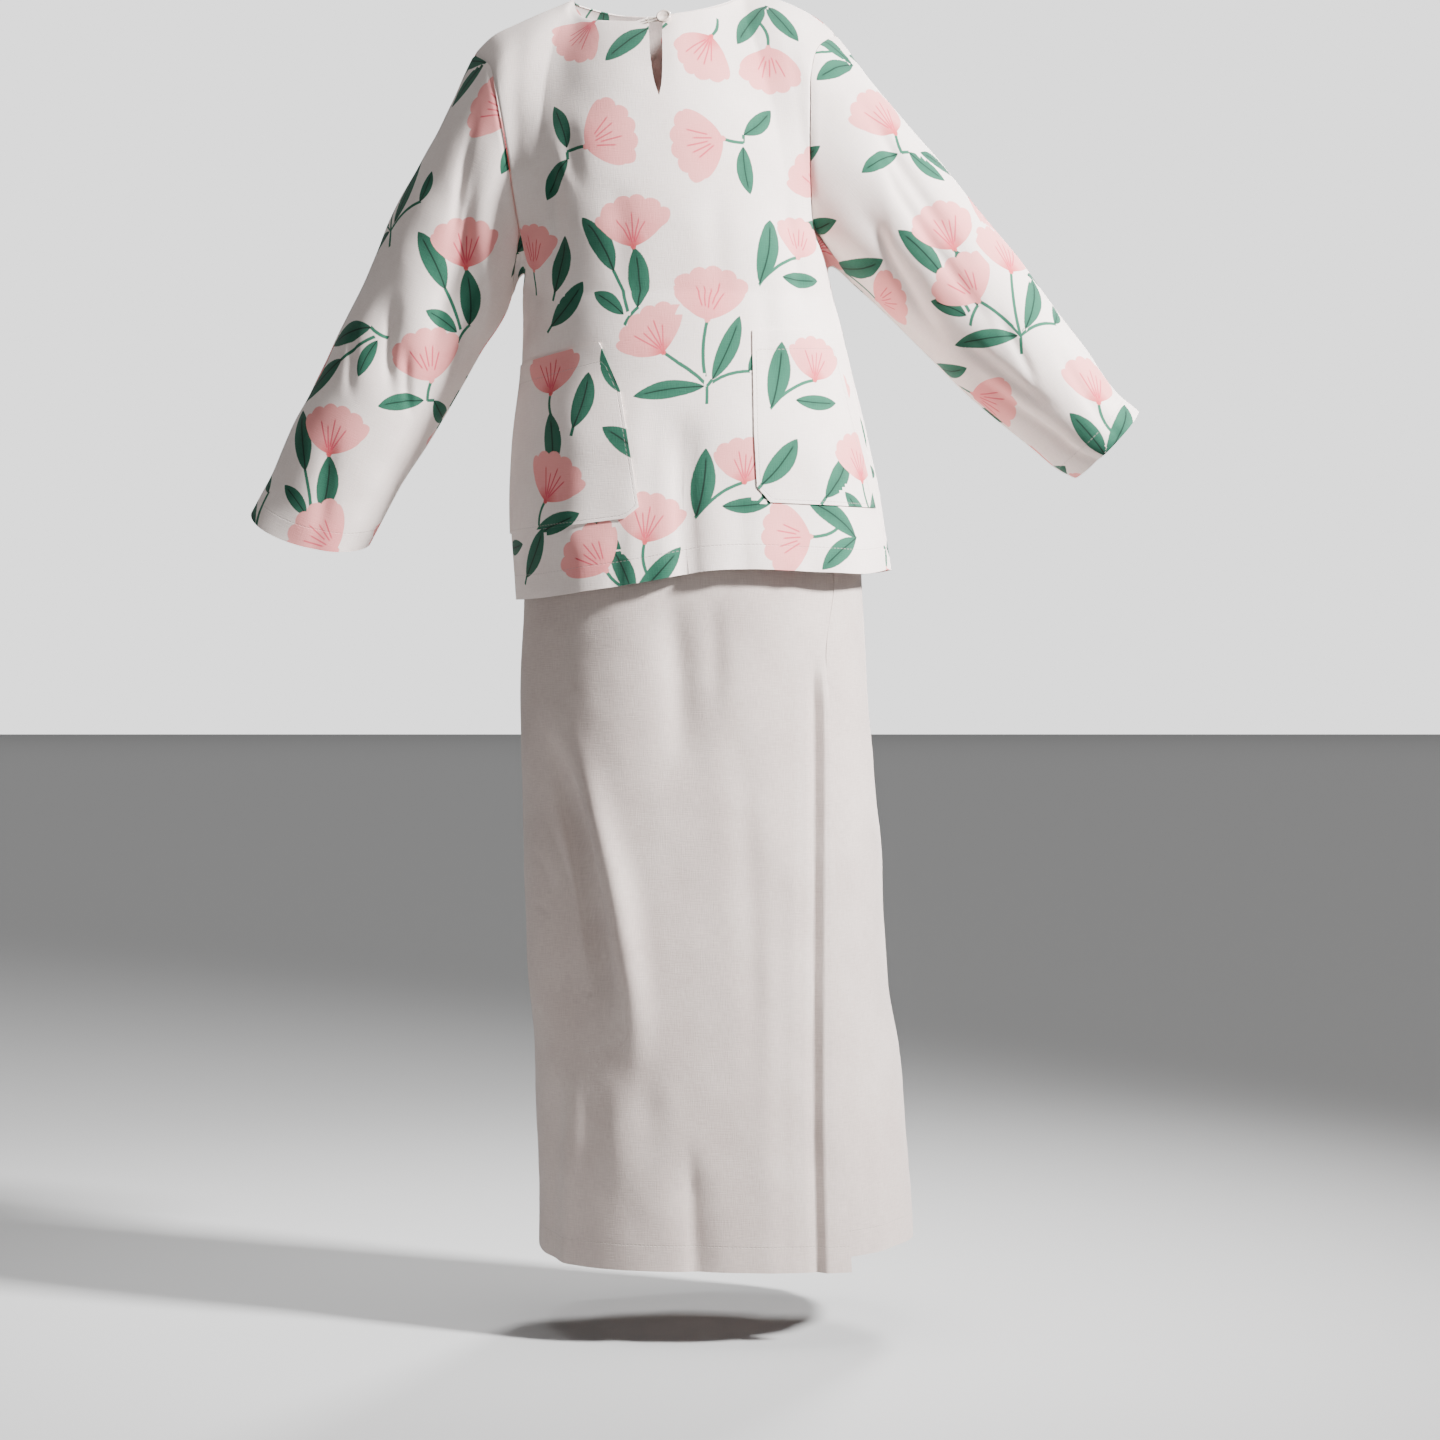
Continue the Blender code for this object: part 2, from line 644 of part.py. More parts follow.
def skirt_front(across, up):
    """The skirt's front from the right side seam to the folded strip at the pleat."""
    height = skirt_height(along(SKIRT_HEM, "front", across), up)
    edge, degree = pleat_angle(height)
    strip = along(PLEAT, "strip", height)
    place = np.clip((across - PLEAT_START) / (1 - PLEAT_START), 0, 1)
    columns = [fold.place for fold in PLEAT_PROFILE]
    beyond = np.interp(place, columns, [fold.beyond for fold in PLEAT_PROFILE])
    share = np.interp(place, columns, [fold.strip_share for fold in PLEAT_PROFILE])
    rise = np.interp(place, columns, [fold.rise for fold in PLEAT_PROFILE])
    pleat = edge - (beyond + strip * share) / degree
    start = edge - (PLEAT_PROFILE[0].beyond + strip) / degree
    seam = -90.0 - SKIRT_TURN
    main = seam + (start - seam) * across / PLEAT_START
    angle = np.where(across < PLEAT_START, main, pleat)
    raised = rise * eased(-height, -SKIRT_LEVEL, -PLEAT_FULL)
    fade = eased(across, 0, FRONT_FADE) * (1 - eased(across, PLEAT_START - FRONT_FADE, PLEAT_START))

    def relief(base):
        return fold_relief(SKIRT_FRONT_FOLDS, base[:, 0], base[:, 2]) * fade + raised

    return skirt_surface(height, angle, relief)


def skirt_back(across, up):
    """The rest of the skirt, from under the folded strip round the back to the side seam."""
    height = skirt_height(along(SKIRT_HEM, "back", across), up)
    edge, degree = pleat_angle(height)
    strip = along(PLEAT, "strip", height)
    underlap = (strip - UNDERLAP_SHORT) * eased(-height, -UNDERLAP_TOP, -UNDERLAP_FULL)
    start = edge - underlap / degree
    seam = 270.0 - SKIRT_TURN
    fade = eased(across, BACK_FADE / 3, BACK_FADE) * (1 - eased(across, 1 - BACK_FADE, 1))

    def relief(base):
        return fold_relief(SKIRT_BACK_FOLDS, base[:, 0], base[:, 2]) * fade

    return skirt_surface(height, start + (seam - start) * across, relief)


def sewn(grids):
    """Lays the grids in one mesh, welds their seams and keeps the way into the cloth at each point."""
    mesh = bmesh.new()
    piece = mesh.faces.layers.int.new("piece")
    inward = mesh.verts.layers.float_vector.new("inward")
    for number, (surface, columns, rows) in enumerate(grids):
        made = bmesh.ops.create_grid(mesh, x_segments=columns, y_segments=rows, size=0.5)["verts"]
        across = np.array([vert.co.x + 0.5 for vert in made])
        up = np.array([vert.co.y + 0.5 for vert in made])
        for vert, point in zip(made, surface(across, up)):
            vert.co = point
        for face in {face for vert in made for face in vert.link_faces}:
            face[piece] = number
    bmesh.ops.remove_doubles(mesh, verts=mesh.verts, dist=WELD)
    bmesh.ops.triangulate(mesh, faces=mesh.faces)
    bmesh.ops.recalc_face_normals(mesh, faces=mesh.faces)
    front = min(mesh.faces, key=lambda face: face.calc_center_median().y)
    if front.normal.y > 0:
        bmesh.ops.reverse_faces(mesh, faces=mesh.faces)
    mesh.normal_update()
    for vert in mesh.verts:
        vert[inward] = -vert.normal
    return mesh


def cut_out(mesh, number):
    """A copy of one piece of the sewn mesh."""
    cut = mesh.copy()
    piece = cut.faces.layers.int["piece"]
    others = [face for face in cut.faces if face[piece] != number]
    bmesh.ops.delete(cut, geom=others, context="FACES")
    return cut


def pull_back(mesh, distance):
    """Moves the edges of a piece back, square to the wall's direction, which leaves the gap."""
    inward = mesh.verts.layers.float_vector["inward"]
    moves = []
    for vert in mesh.verts:
        ways = []
        for edge in vert.link_edges:
            if not edge.is_boundary:
                continue
            along_edge = (edge.other_vert(vert).co - vert.co).normalized()
            inside = edge.link_faces[0].calc_center_median() - vert.co
            square = along_edge.cross(vert[inward]).normalized()
            ways.append(square if square.dot(inside) > 0 else -square)
        if ways:
            total = sum(ways, Vector())
            moves.append((vert, total * distance / (1 + ways[0].dot(ways[-1]))))
    for vert, move in moves:
        vert.co += move


def thicken(mesh, start, end):
    """Makes a closed wall between two distances along the kept directions."""
    inward = mesh.verts.layers.float_vector["inward"]
    bmesh.ops.triangulate(mesh, faces=mesh.faces)
    made = bmesh.ops.extrude_face_region(mesh, geom=mesh.faces[:], use_keep_orig=True)
    inner = {item for item in made["geom"] if isinstance(item, bmesh.types.BMVert)}
    for vert in mesh.verts:
        vert.co += vert[inward].normalized() * (end if vert in inner else start)
    for face in [face for face in mesh.faces if len(face.verts) == 4]:
        corners = list(face.verts)
        highest = max(set(corners) - inner, key=lambda vert: vert.co.z)
        opposite = corners[(corners.index(highest) + 2) % 4]
        bmesh.utils.face_split(face, highest, opposite)
    bmesh.ops.recalc_face_normals(mesh, faces=mesh.faces)


def add_piece(name, mesh, colour):
    """Turns a mesh in millimetres into the named object with its own material."""
    bmesh.ops.scale(mesh, vec=Vector((MM, MM, MM)), verts=mesh.verts)
    data = bpy.data.meshes.new(name)
    mesh.to_mesh(data)
    mesh.free()
    add_object(name, data, colour, CLOTH_ROUGHNESS)


def add_object(name, data, colour, roughness):
    """Links an object with its own material to the garment's collection."""
    material = bpy.data.materials.new(name)
    material.use_nodes = True
    shader = material.node_tree.nodes["Principled BSDF"]
    shader.inputs["Base Color"].default_value = colour
    shader.inputs["Roughness"].default_value = roughness
    shader.inputs["Metallic"].default_value = 0
    data.materials.append(material)
    made = bpy.data.objects.new(name, data)
    garment.objects.link(made)
    return made


def open_slit(mesh):
    """Splits the front's middle column above the slit's tip and draws its edges apart."""
    surface, _, rows = body_grid(FRONT)
    ups = np.arange(rows - SLIT_ROWS, rows + 1) / rows
    line = surface(np.full(len(ups), 0.5), ups)
    middle = [min(mesh.verts, key=lambda v, p=Vector(p): (v.co - p).length) for p in line]
    edges = [edge for edge in mesh.edges if edge.verts[0] in middle and edge.verts[1] in middle]
    share = {tuple(vert.co): index / SLIT_ROWS for index, vert in enumerate(middle)}
    bmesh.ops.split_edges(mesh, edges=edges)
    for vert in [vert for vert in mesh.verts if tuple(vert.co) in share]:
        faces = vert.link_faces
        place = sum((face.calc_center_median() for face in faces), Vector()) / len(faces)
        up = share[tuple(vert.co)]
        if place.x < vert.co.x:
            vert.co.x = SLIT_X - along(SLIT, "right", up)
        else:
            vert.co.x = SLIT_X + along(SLIT, "left", up)


def make_cloth(names, grids, colour):
    """Sews the grids together, then cuts out each piece and gives it its wall."""
    mesh = sewn(grids)
    for number, name in enumerate(names):
        cut = cut_out(mesh, number)
        if name == "top_front":
            for pocket, corners in POCKETS.items():
                make_pocket(pocket, cut.copy(), corners)
            open_slit(cut)
        pull_back(cut, SEAM_GAP / 2)
        thicken(cut, 0, WALL)
        add_piece(name, cut, colour)
    mesh.free()


def make_pocket(name, panel, corners):
    """Trims a copy of the front panel to the pocket's outline and moves it out over the panel."""
    middle = Vector((sum(c.x for c in corners), 0, sum(c.z for c in corners))) / len(corners)
    cuts = [(Vector((0, POCKET_BACK_LIMIT, 0)), Vector((0, 1, 0)))]
    for corner, following in zip(corners, corners[1:] + corners[:1]):
        start = Vector((corner.x, 0, corner.z))
        run = Vector((following.x, 0, following.z)) - start
        away = Vector((run.z, 0, -run.x))
        cuts.append((start, away if away.dot(start - middle) > 0 else -away))
    for place, away in cuts:
        geometry = panel.verts[:] + panel.edges[:] + panel.faces[:]
        bmesh.ops.bisect_plane(
            panel, geom=geometry, dist=WELD, plane_co=place, plane_no=away, clear_outer=True
        )
    thicken(panel, -SEAM_GAP - WALL, -SEAM_GAP)
    add_piece(name, panel, CREAM_TOP)


def over_front(x, z, lift):
    """A point lifted off the front panel, in millimetres, and the way out of the cloth there."""
    panel = bpy.data.objects["top_front"]
    start = Vector((x, -2 * NECK_DEPTH[FRONT], z)) * MM
    _, place, normal, _ = panel.ray_cast(start, Vector((0, 1, 0)))
    return place / MM + normal * lift, normal


def make_button():
    """A pearl button on a shank, turned from its profile."""
    place, normal = over_front(BUTTON_X, BUTTON_Z, SEAM_GAP)
    mesh = bmesh.new()
    verts = [mesh.verts.new((row.radius * MM, 0, row.height * MM)) for row in BUTTON_PROFILE]
    for pair in zip(verts, verts[1:]):
        mesh.edges.new(pair)
    data = bpy.data.meshes.new("button")
    mesh.to_mesh(data)
    mesh.free()
    button = add_object("button", data, PEARL, PEARL_ROUGHNESS)
    turned = button.modifiers.new("turned", "SCREW")
    turned.steps = BUTTON_STEPS
    turned.render_steps = BUTTON_STEPS
    turned.use_merge_vertices = True
    turned.merge_threshold = 1e-5
    turned.use_normal_calculate = True
    button.location = place * MM
    button.rotation_euler = normal.to_track_quat("Z", "Y").to_euler()


def make_button_loop():
    """The thread loop: from the slit's right side, round the button's shank and back."""
    middle, normal = over_front(BUTTON_X, BUTTON_Z, LOOP_LIFT)
    end, _ = over_front(LOOP_END_X, LOOP_END_Z, LOOP_LIFT)
    away = end - middle
    away = (away - normal * away.dot(normal)).normalized()
    beside = normal.cross(away)
    route = [end - beside * LOOP_END_APART]
    for angle in LOOP_BEND:
        turn = math.radians(angle)
        bend = away * math.cos(turn) + beside * math.sin(turn)
        route.append(middle - bend * LOOP_RADIUS)
    route.append(end + beside * LOOP_END_APART)
    curve = bpy.data.curves.new("button_loop", "CURVE")
    curve.dimensions = "3D"
    curve.bevel_depth = LOOP_THREAD * MM
    curve.bevel_resolution = 1
    curve.use_fill_caps = True
    spline = curve.splines.new("POLY")
    spline.points.add(len(route) - 1)
    for point, place in zip(spline.points, route):
        point.co = (*(place * MM), 1)
    add_object("button_loop", curve, THREAD, CLOTH_ROUGHNESS)


for leftover in list(bpy.data.objects):
    bpy.data.objects.remove(leftover)
garment = bpy.data.collections.new("baju_kurung_set")
bpy.context.scene.collection.children.link(garment)

make_cloth(
    ("top_front", "top_back", "gusset_right", "gusset_left", "sleeve_right", "sleeve_left"),
    (
        body_grid(FRONT),
        body_grid(BACK),
        gusset_grid(-1),
        gusset_grid(1),
        sleeve_grid(-1),
        sleeve_grid(1),
    ),
    CREAM_TOP,
)
make_button()
make_button_loop()
make_cloth(
    ("skirt_front", "skirt_back"),
    (
        (skirt_front, SKIRT_FRONT_COLUMNS, SKIRT_LOW_ROWS + SKIRT_HIGH_ROWS),
        (skirt_back, SKIRT_BACK_COLUMNS, SKIRT_LOW_ROWS + SKIRT_HIGH_ROWS),
    ),
    PLAIN_SKIRT,
)
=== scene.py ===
import math
from collections import namedtuple

import bmesh
import bpy
import numpy as np
from mathutils import Matrix, Vector
from mathutils.bvhtree import BVHTree


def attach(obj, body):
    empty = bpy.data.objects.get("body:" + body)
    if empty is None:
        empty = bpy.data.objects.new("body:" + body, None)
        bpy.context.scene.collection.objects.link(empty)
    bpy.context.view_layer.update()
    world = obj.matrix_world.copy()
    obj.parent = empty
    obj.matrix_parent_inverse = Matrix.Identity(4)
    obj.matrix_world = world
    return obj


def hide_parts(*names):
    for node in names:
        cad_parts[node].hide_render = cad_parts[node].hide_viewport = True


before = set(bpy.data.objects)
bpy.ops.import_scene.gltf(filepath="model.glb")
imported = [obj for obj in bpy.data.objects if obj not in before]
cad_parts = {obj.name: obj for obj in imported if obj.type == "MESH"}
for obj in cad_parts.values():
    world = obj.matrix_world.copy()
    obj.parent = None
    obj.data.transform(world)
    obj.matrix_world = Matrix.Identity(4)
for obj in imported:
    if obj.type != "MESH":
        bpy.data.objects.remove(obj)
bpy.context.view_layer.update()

# The camera
# It stands in front of the outfit a little below the shoulders, far off and with a long lens, and
# looks slightly down, as the photograph does.
CAMERA_PLACE = (0.048, -3.2, -0.45)
CAMERA_AIM = (0.048, 0, -0.576)
CAMERA_LENS = 100


def added(name, data):
    """A new object in the scene."""
    item = bpy.data.objects.new(name, data)
    bpy.context.scene.collection.objects.link(item)
    return item


def aimed(item, place, aim):
    """Stands a camera or a lamp at a place and points it."""
    item.location = place
    item.rotation_euler = (Vector(aim) - Vector(place)).to_track_quat("-Z", "Y").to_euler()


camera = added("camera", bpy.data.cameras.new("camera"))
camera.data.lens = CAMERA_LENS
aimed(camera, CAMERA_PLACE, CAMERA_AIM)
bpy.context.scene.camera = camera

# The top's front and back
# Two panels of printed plain-weave cloth, joined at the shoulders and sides, with a round neck
# and a slit below it in the front. Tables hold millimetres and degrees.
MM = 0.001
SEAM_GAP = 0.3
WELD = 0.02

FRONT = -1
BACK = 1
FACE_COLUMNS = {FRONT: "front", BACK: "back"}
RIGHT = -1
LEFT = 1

# The top's body: half rings from the hem up to the foot of the underarm gusset
Section = namedtuple("Section", "height right left front back")
TOP_SECTIONS = (
    Section(-500, -113, 186, 121, 117),
    Section(-454, -117, 184, 118, 114),
    Section(-417, -119, 179, 114, 111),
    Section(-378, -118, 172, 111, 108),
    Section(-340, -115, 163, 108, 106),
    Section(-302, -110.5, 154, 104, 103),
    Section(-270, -110, 146.5, 101, 101),
    Section(-240, -109.5, 138.5, 99, 100),
)
TOP_ROUNDNESS = 2.3
Spread = namedtuple("Spread", "across place")
TOP_SPREAD = (Spread(-1, -1), Spread(-0.5, -0.64), Spread(0, 0), Spread(0.5, 0.64), Spread(1, 1))
TOP_TURN = 14
GUSSET_FOOT = -240

# How soon a panel's points leave the plain tube on the way up, at its sides and at its middle
LEAVE_POWER = 2.2
LEAVE_EDGE = 0.58
LEAVE_MIDDLE = (0.3, 0.7)
ARMHOLE_REACH = 4

# Height of the top's hem across a panel, from the right side seam (-1) to the left one (1)
TopHem = namedtuple("TopHem", "across front back")
TOP_HEM = (
    TopHem(-1, -480, -480),
    TopHem(-0.45, -477.5, -476),
    TopHem(-0.2, -471.5, -471),
    TopHem(0.03, -463.5, -466),
    TopHem(0.18, -456, -463),
    TopHem(0.54, -457.5, -459),
    TopHem(0.74, -459, -457),
    TopHem(1, -455.5, -455.5),
)

# Armhole edges, from the gusset's foot (0) past its corner to the shoulder tip (1)
Armhole = namedtuple("Armhole", "up x front back")
ARMHOLES = {
    RIGHT: (
        Armhole(0, -109.5, 0, 0),
        Armhole(0.13, -106, -20, 22),
        Armhole(0.25, -109.5, -33, 35),
        Armhole(0.4, -114.5, -46, 48),
        Armhole(0.55, -118.5, -52, 55),
        Armhole(0.7, -124, -51, 56),
        Armhole(0.85, -130, -42, 47),
        Armhole(0.95, -136, -24, 27),
        Armhole(1, -148, 2, 2),
    ),
    LEFT: (
        Armhole(0, 138.5, 0, 0),
        Armhole(0.13, 131, -20, 22),
        Armhole(0.25, 122, -34, 36),
        Armhole(0.4, 119.5, -46, 48),
        Armhole(0.55, 119, -52, 55),
        Armhole(0.7, 119.5, -51, 56),
        Armhole(0.85, 121, -42, 47),
        Armhole(0.95, 128, -24, 27),
        Armhole(1, 140, 2, 2),
    ),
}
GUSSET_CORNER = 0.25
GUSSET_TIPS = {RIGHT: (-118, 2, -240), LEFT: (153, 0, -229)}
GUSSET_SAG = 4

# Shoulder seams, from the neck (0) to the tip (1)
Shoulder = namedtuple("Shoulder", "out x height")
SHOULDERS = {
    RIGHT: (
        Shoulder(0, -68, -3),
        Shoulder(0.25, -90, -12),
        Shoulder(0.5, -112, -21.5),
        Shoulder(0.75, -132, -31),
        Shoulder(1, -148, -46),
    ),
    LEFT: (
        Shoulder(0, 66, 3),
        Shoulder(0.25, 86, -1),
        Shoulder(0.5, 105, -7),
        Shoulder(0.75, 123, -16),
        Shoulder(1, 140, -30),
    ),
}
SHOULDER_Y = 2

# Height of the neck edge by the angle from the middle, negative towards the right shoulder
Neck = namedtuple("Neck", "angle front back")
NECK = (
    Neck(-90, -3, -3),
    Neck(-65, -19, -5),
    Neck(-35, -26, -8),
    Neck(-6, -27, -9),
    Neck(8, -22.5, -8),
    Neck(25, -19.5, -7),
    Neck(50, -13, -4),
    Neck(70, -5.5, -1),
    Neck(90, 3, 3),
)
NECK_SHARE = 0.5
NECK_HALF_WIDTH = 67
NECK_MIDDLE = -1
NECK_DEPTH = {FRONT: 62, BACK: 52}

# Soft folds from (x1, z1) to (x2, z2), bowed sideways, dying out above and keeping a share below
FOLD_GROWN = 0.35
FOLD_FADING = 0.6
SEAM_FADE = 0.2
SHOULDER_FADE = 2.3
BODY_TOP = 3
NORMAL_STEP = 0.002
Fold = namedtuple("Fold", "x1 z1 x2 z2 bow width depth kept")
TOP_FOLDS = {}
TOP_FOLDS[FRONT] = (
    Fold(-84, -140, -76, -225, 0, 9, -3, 0),
    Fold(12, -310, 26, -500, 2, 15, -5, 1),
    Fold(-106, -212, -100, -285, 0, 15, -5, 0),
    Fold(96, -150, 118, -290, 4, 16, -3, 0),
    Fold(-60, -300, -66, -500, -3, 20, 3, 1),
    Fold(120, -330, 150, -500, 3, 18, 3.5, 1),
)
TOP_FOLDS[BACK] = (
    Fold(-80, -110, -74, -260, 4, 12, -4, 0),
    Fold(88, -120, 96, -280, -4, 13, -4, 0),
    Fold(-30, -280, -46, -500, 3, 18, -5, 1),
    Fold(60, -260, 92, -500, 4, 20, -6, 1),
    Fold(4, -200, 22, -500, 2, 22, 4, 1),
)

SIDE_ROWS = 12
GUSSET_ROWS = 3
ARMHOLE_ROWS = 7


def along(table, column, at):
    """Values of a table's column on a smooth curve through its rows, by the first column."""
    rows = sorted(table)
    where = np.array([row[0] for row in rows], float)
    values = np.array([getattr(row, column) for row in rows], float)
    return through(where, values, at)


def through(where, values, at):
    """A smooth curve through the values. They may hold one column for each point of at."""
    at = np.clip(np.asarray(at, float), where[0], where[-1])
    steps = np.diff(where).reshape((-1,) + (1,) * (values.ndim - 1))
    rise = np.diff(values, axis=0) / steps
    slopes = np.concatenate([rise[:1], (rise[1:] + rise[:-1]) / 2, rise[-1:]])
    low = np.clip(np.searchsorted(where, at, side="right") - 1, 0, len(where) - 2)
    step = where[low + 1] - where[low]
    t = (at - where[low]) / step

    def picked(array, index):
        if array.ndim == 1:
            return array[index]
        return array[index, np.arange(len(index))]

    if values.ndim > 1:
        step = step[:, None]
        t = t[:, None]
    start = picked(values, low)
    end = picked(values, low + 1)
    leave = picked(slopes, low) * step
    arrive = picked(slopes, low + 1) * step
    return (
        start * (1 + 2 * t) * (1 - t) ** 2
        + leave * t * (1 - t) ** 2
        + end * t**2 * (3 - 2 * t)
        - arrive * t**2 * (1 - t)
    )


def eased(value, start=0.0, end=1.0):
    """0 before start and 1 after end, with a soft step between."""
    t = np.clip((np.asarray(value, float) - start) / (end - start), 0, 1)
    return t * t * (3 - 2 * t)


def points(x, y, z):
    """One array of points, one in each row."""
    return np.stack(np.broadcast_arrays(x, y, z), axis=-1).astype(float)


def ring(sections, roundness, height, angle):
    """Points of the body's outline at a height. The angle runs from the front to the left."""
    right = along(sections, "right", height)
    left = along(sections, "left", height)
    sine = np.sin(np.radians(angle))
    cosine = np.cos(np.radians(angle))
    power = 2 / roundness
    depth = np.where(cosine < 0, along(sections, "back", height), along(sections, "front", height))
    x = (left + right) / 2 + (left - right) / 2 * np.sign(sine) * np.abs(sine) ** power
    return points(x, -np.sign(cosine) * np.abs(cosine) ** power * depth, height)


def fold_relief(folds, across, height):
    """How far the folds move a surface out, where across and height say the place on it."""
    relief = np.zeros(np.shape(across))
    for fold in folds:
        x1, z1, x2, z2, bow, width, depth, kept = fold
        t = (height - z1) / (z2 - z1)
        inside = np.clip(t, 0, 1)
        middle = x1 + (x2 - x1) * inside + bow * 4 * inside * (1 - inside)
        strength = eased(t, 0, FOLD_GROWN) * (1 - (1 - kept) * eased(t, FOLD_FADING, 1))
        relief += depth * strength * np.exp(-(((across - middle) / width) ** 2))
    return relief


def unit(vectors):
    """The vectors at a length of 1."""
    return vectors / np.linalg.norm(vectors, axis=-1, keepdims=True)


def outward(surface, across, up, step):
    """Unit normals of a surface, by differences, facing out of the front."""
    sideways = surface(across + step, up) - surface(across - step, up)
    upwards = surface(across, up + step) - surface(across, up - step)
    return unit(np.cross(sideways, upwards))


def armhole_height(side, share):
    """Height of an armhole's edge at a share of the way up from the gusset's foot."""
    tip = SHOULDERS[side][-1].height
    return GUSSET_FOOT + (tip - GUSSET_FOOT) * share


def armhole_edge(side, face, share):
    """Points of the armhole's edge on the front or the back."""
    x = along(ARMHOLES[side], "x", share)
    y = along(ARMHOLES[side], FACE_COLUMNS[face], share)
    return points(x, y, armhole_height(side, share))


def armhole_share(up):
    """Turns a body row (1 at the gusset's foot, 2 at its corner, 3 at the top) into a share."""
    straight = GUSSET_CORNER * (up - 1)
    curved = GUSSET_CORNER + (1 - GUSSET_CORNER) * np.sin(np.radians(90 * (up - 2)))
    return np.clip(np.where(up < 2, straight, curved), 0, 1)


def neck_and_shoulders(face, across):
    """The top edge of a body panel: shoulder seam, neck edge and shoulder seam."""
    out = np.clip((np.abs(across) - NECK_SHARE) / (1 - NECK_SHARE), 0, 1)
    seam_x, seam_z = (
        np.where(across < 0, along(SHOULDERS[RIGHT], name, out), along(SHOULDERS[LEFT], name, out))
        for name in ("x", "height")
    )
    angle = np.clip(90 * across / NECK_SHARE, -90, 90)
    neck_x = NECK_MIDDLE + NECK_HALF_WIDTH * np.sin(np.radians(angle))
    neck_y = SHOULDER_Y + face * NECK_DEPTH[face] * np.cos(np.radians(angle))
    neck_z = along(NECK, FACE_COLUMNS[face], angle)
    seam = points(seam_x, SHOULDER_Y, seam_z)
    return np.where(np.abs(across)[:, None] < NECK_SHARE, points(neck_x, neck_y, neck_z), seam)


def plain_body(face, across, up):
    """The top's front or back with no folds. Across runs from -1 (right) to 1 (left)."""
    place = along(TOP_SPREAD, "place", across)
    hem = along(TOP_HEM, FACE_COLUMNS[face], place)
    below = np.clip(up, 0, 1)
    height = hem + (GUSSET_FOOT - hem) * below
    turn = TOP_TURN * (1 - below**3)
    angle = 90 * place - turn if face == FRONT else 180 - 90 * place - turn
    low = ring(TOP_SECTIONS, TOP_ROUNDNESS, height, angle)
    top = neck_and_shoulders(face, across)
    share = armhole_share(up)
    root = 1 - (1 - LEAVE_EDGE) * eased(np.abs(across), *LEAVE_MIDDLE)
    kept = (1 - share**LEAVE_POWER) ** root
    blend = np.stack([1 - kept, 1 - kept, share], axis=-1)
    body = low + (top - low) * blend
    edge_kept = (1 - share**LEAVE_POWER) ** LEAVE_EDGE
    plain_x = {}
    edge_x = {}
    for side in (RIGHT, LEFT):
        foot = ARMHOLES[side][0].x
        tip = ARMHOLES[side][-1].x
        plain_x[side] = tip + (foot - tip) * edge_kept
        edge = armhole_edge(side, face, share)
        edge_x[side] = edge[:, 0]
        weight = ((1 + side * across) / 2) ** ARMHOLE_REACH
        body[:, 1] += weight * (edge[:, 1] - SHOULDER_Y * (1 - edge_kept))
    over = (body[:, 0] - plain_x[RIGHT]) / (plain_x[LEFT] - plain_x[RIGHT])
    body[:, 0] = edge_x[RIGHT] + (edge_x[LEFT] - edge_x[RIGHT]) * over
    return body


def body_panel(face, across, up):
    """The top's front or back with its folds, which die out at the seams."""

    def plain(sideways, upwards):
        return plain_body(face, sideways, upwards)

    body = plain(across, up)
    relief = fold_relief(TOP_FOLDS[face], body[:, 0], body[:, 2])
    relief *= eased(1 - np.abs(across), 0, SEAM_FADE) * (1 - eased(up, SHOULDER_FADE, BODY_TOP))
    inside = np.clip(up, NORMAL_STEP, BODY_TOP - NORMAL_STEP)
    normal = outward(plain, across * (1 - NORMAL_STEP), inside, NORMAL_STEP / 2)
    return body - face * normal * relief[:, None]


def body_grid(face):
    """The panel's surface over a unit square, with rows that meet the sleeve's and gusset's."""
    corner = SIDE_ROWS + GUSSET_ROWS
    rows = corner + ARMHOLE_ROWS
    marks = (0, SIDE_ROWS, corner, rows)

    def surface(across, up):
        return body_panel(face, 2 * across - 1, np.interp(up * rows, marks, range(BODY_TOP + 1)))

    return surface


# How cloth is laid out: a shell of one thickness, with grooves at its seams and a worn surface
SHELL = 1.0
GROOVE_DEPTH = 1.3
GROOVE_WIDTH = 2.2
SEAM_CALM = 14
RUMPLE_WAVES = 16
RUMPLE_LENGTHS = (22, 110)
RUMPLE_HEIGHT = 0.0015
PATTERN_COLUMNS = 24
PATTERN_ROWS = 30
RELAX_ROUNDS = 260
RELAX_STEP = 0.24


def groove(distance):
    """The soft valley of a seam, by the distance from it."""
    return -GROOVE_DEPTH * np.exp(-((distance / GROOVE_WIDTH) ** 2))


def rumple(flat, seed):
    """The small unevenness of worn cloth: low waves in every direction."""
    chance = np.random.default_rng(seed)
    height = np.zeros(len(flat))
    for _ in range(RUMPLE_WAVES):
        turn = chance.uniform(0, math.pi)
        length = chance.uniform(*RUMPLE_LENGTHS)
        across = flat[:, 0] * math.cos(turn) + flat[:, 1] * math.sin(turn)
        height += length * np.sin(2 * math.pi * across / length + chance.uniform(0, 2 * math.pi))
    return height * RUMPLE_HEIGHT


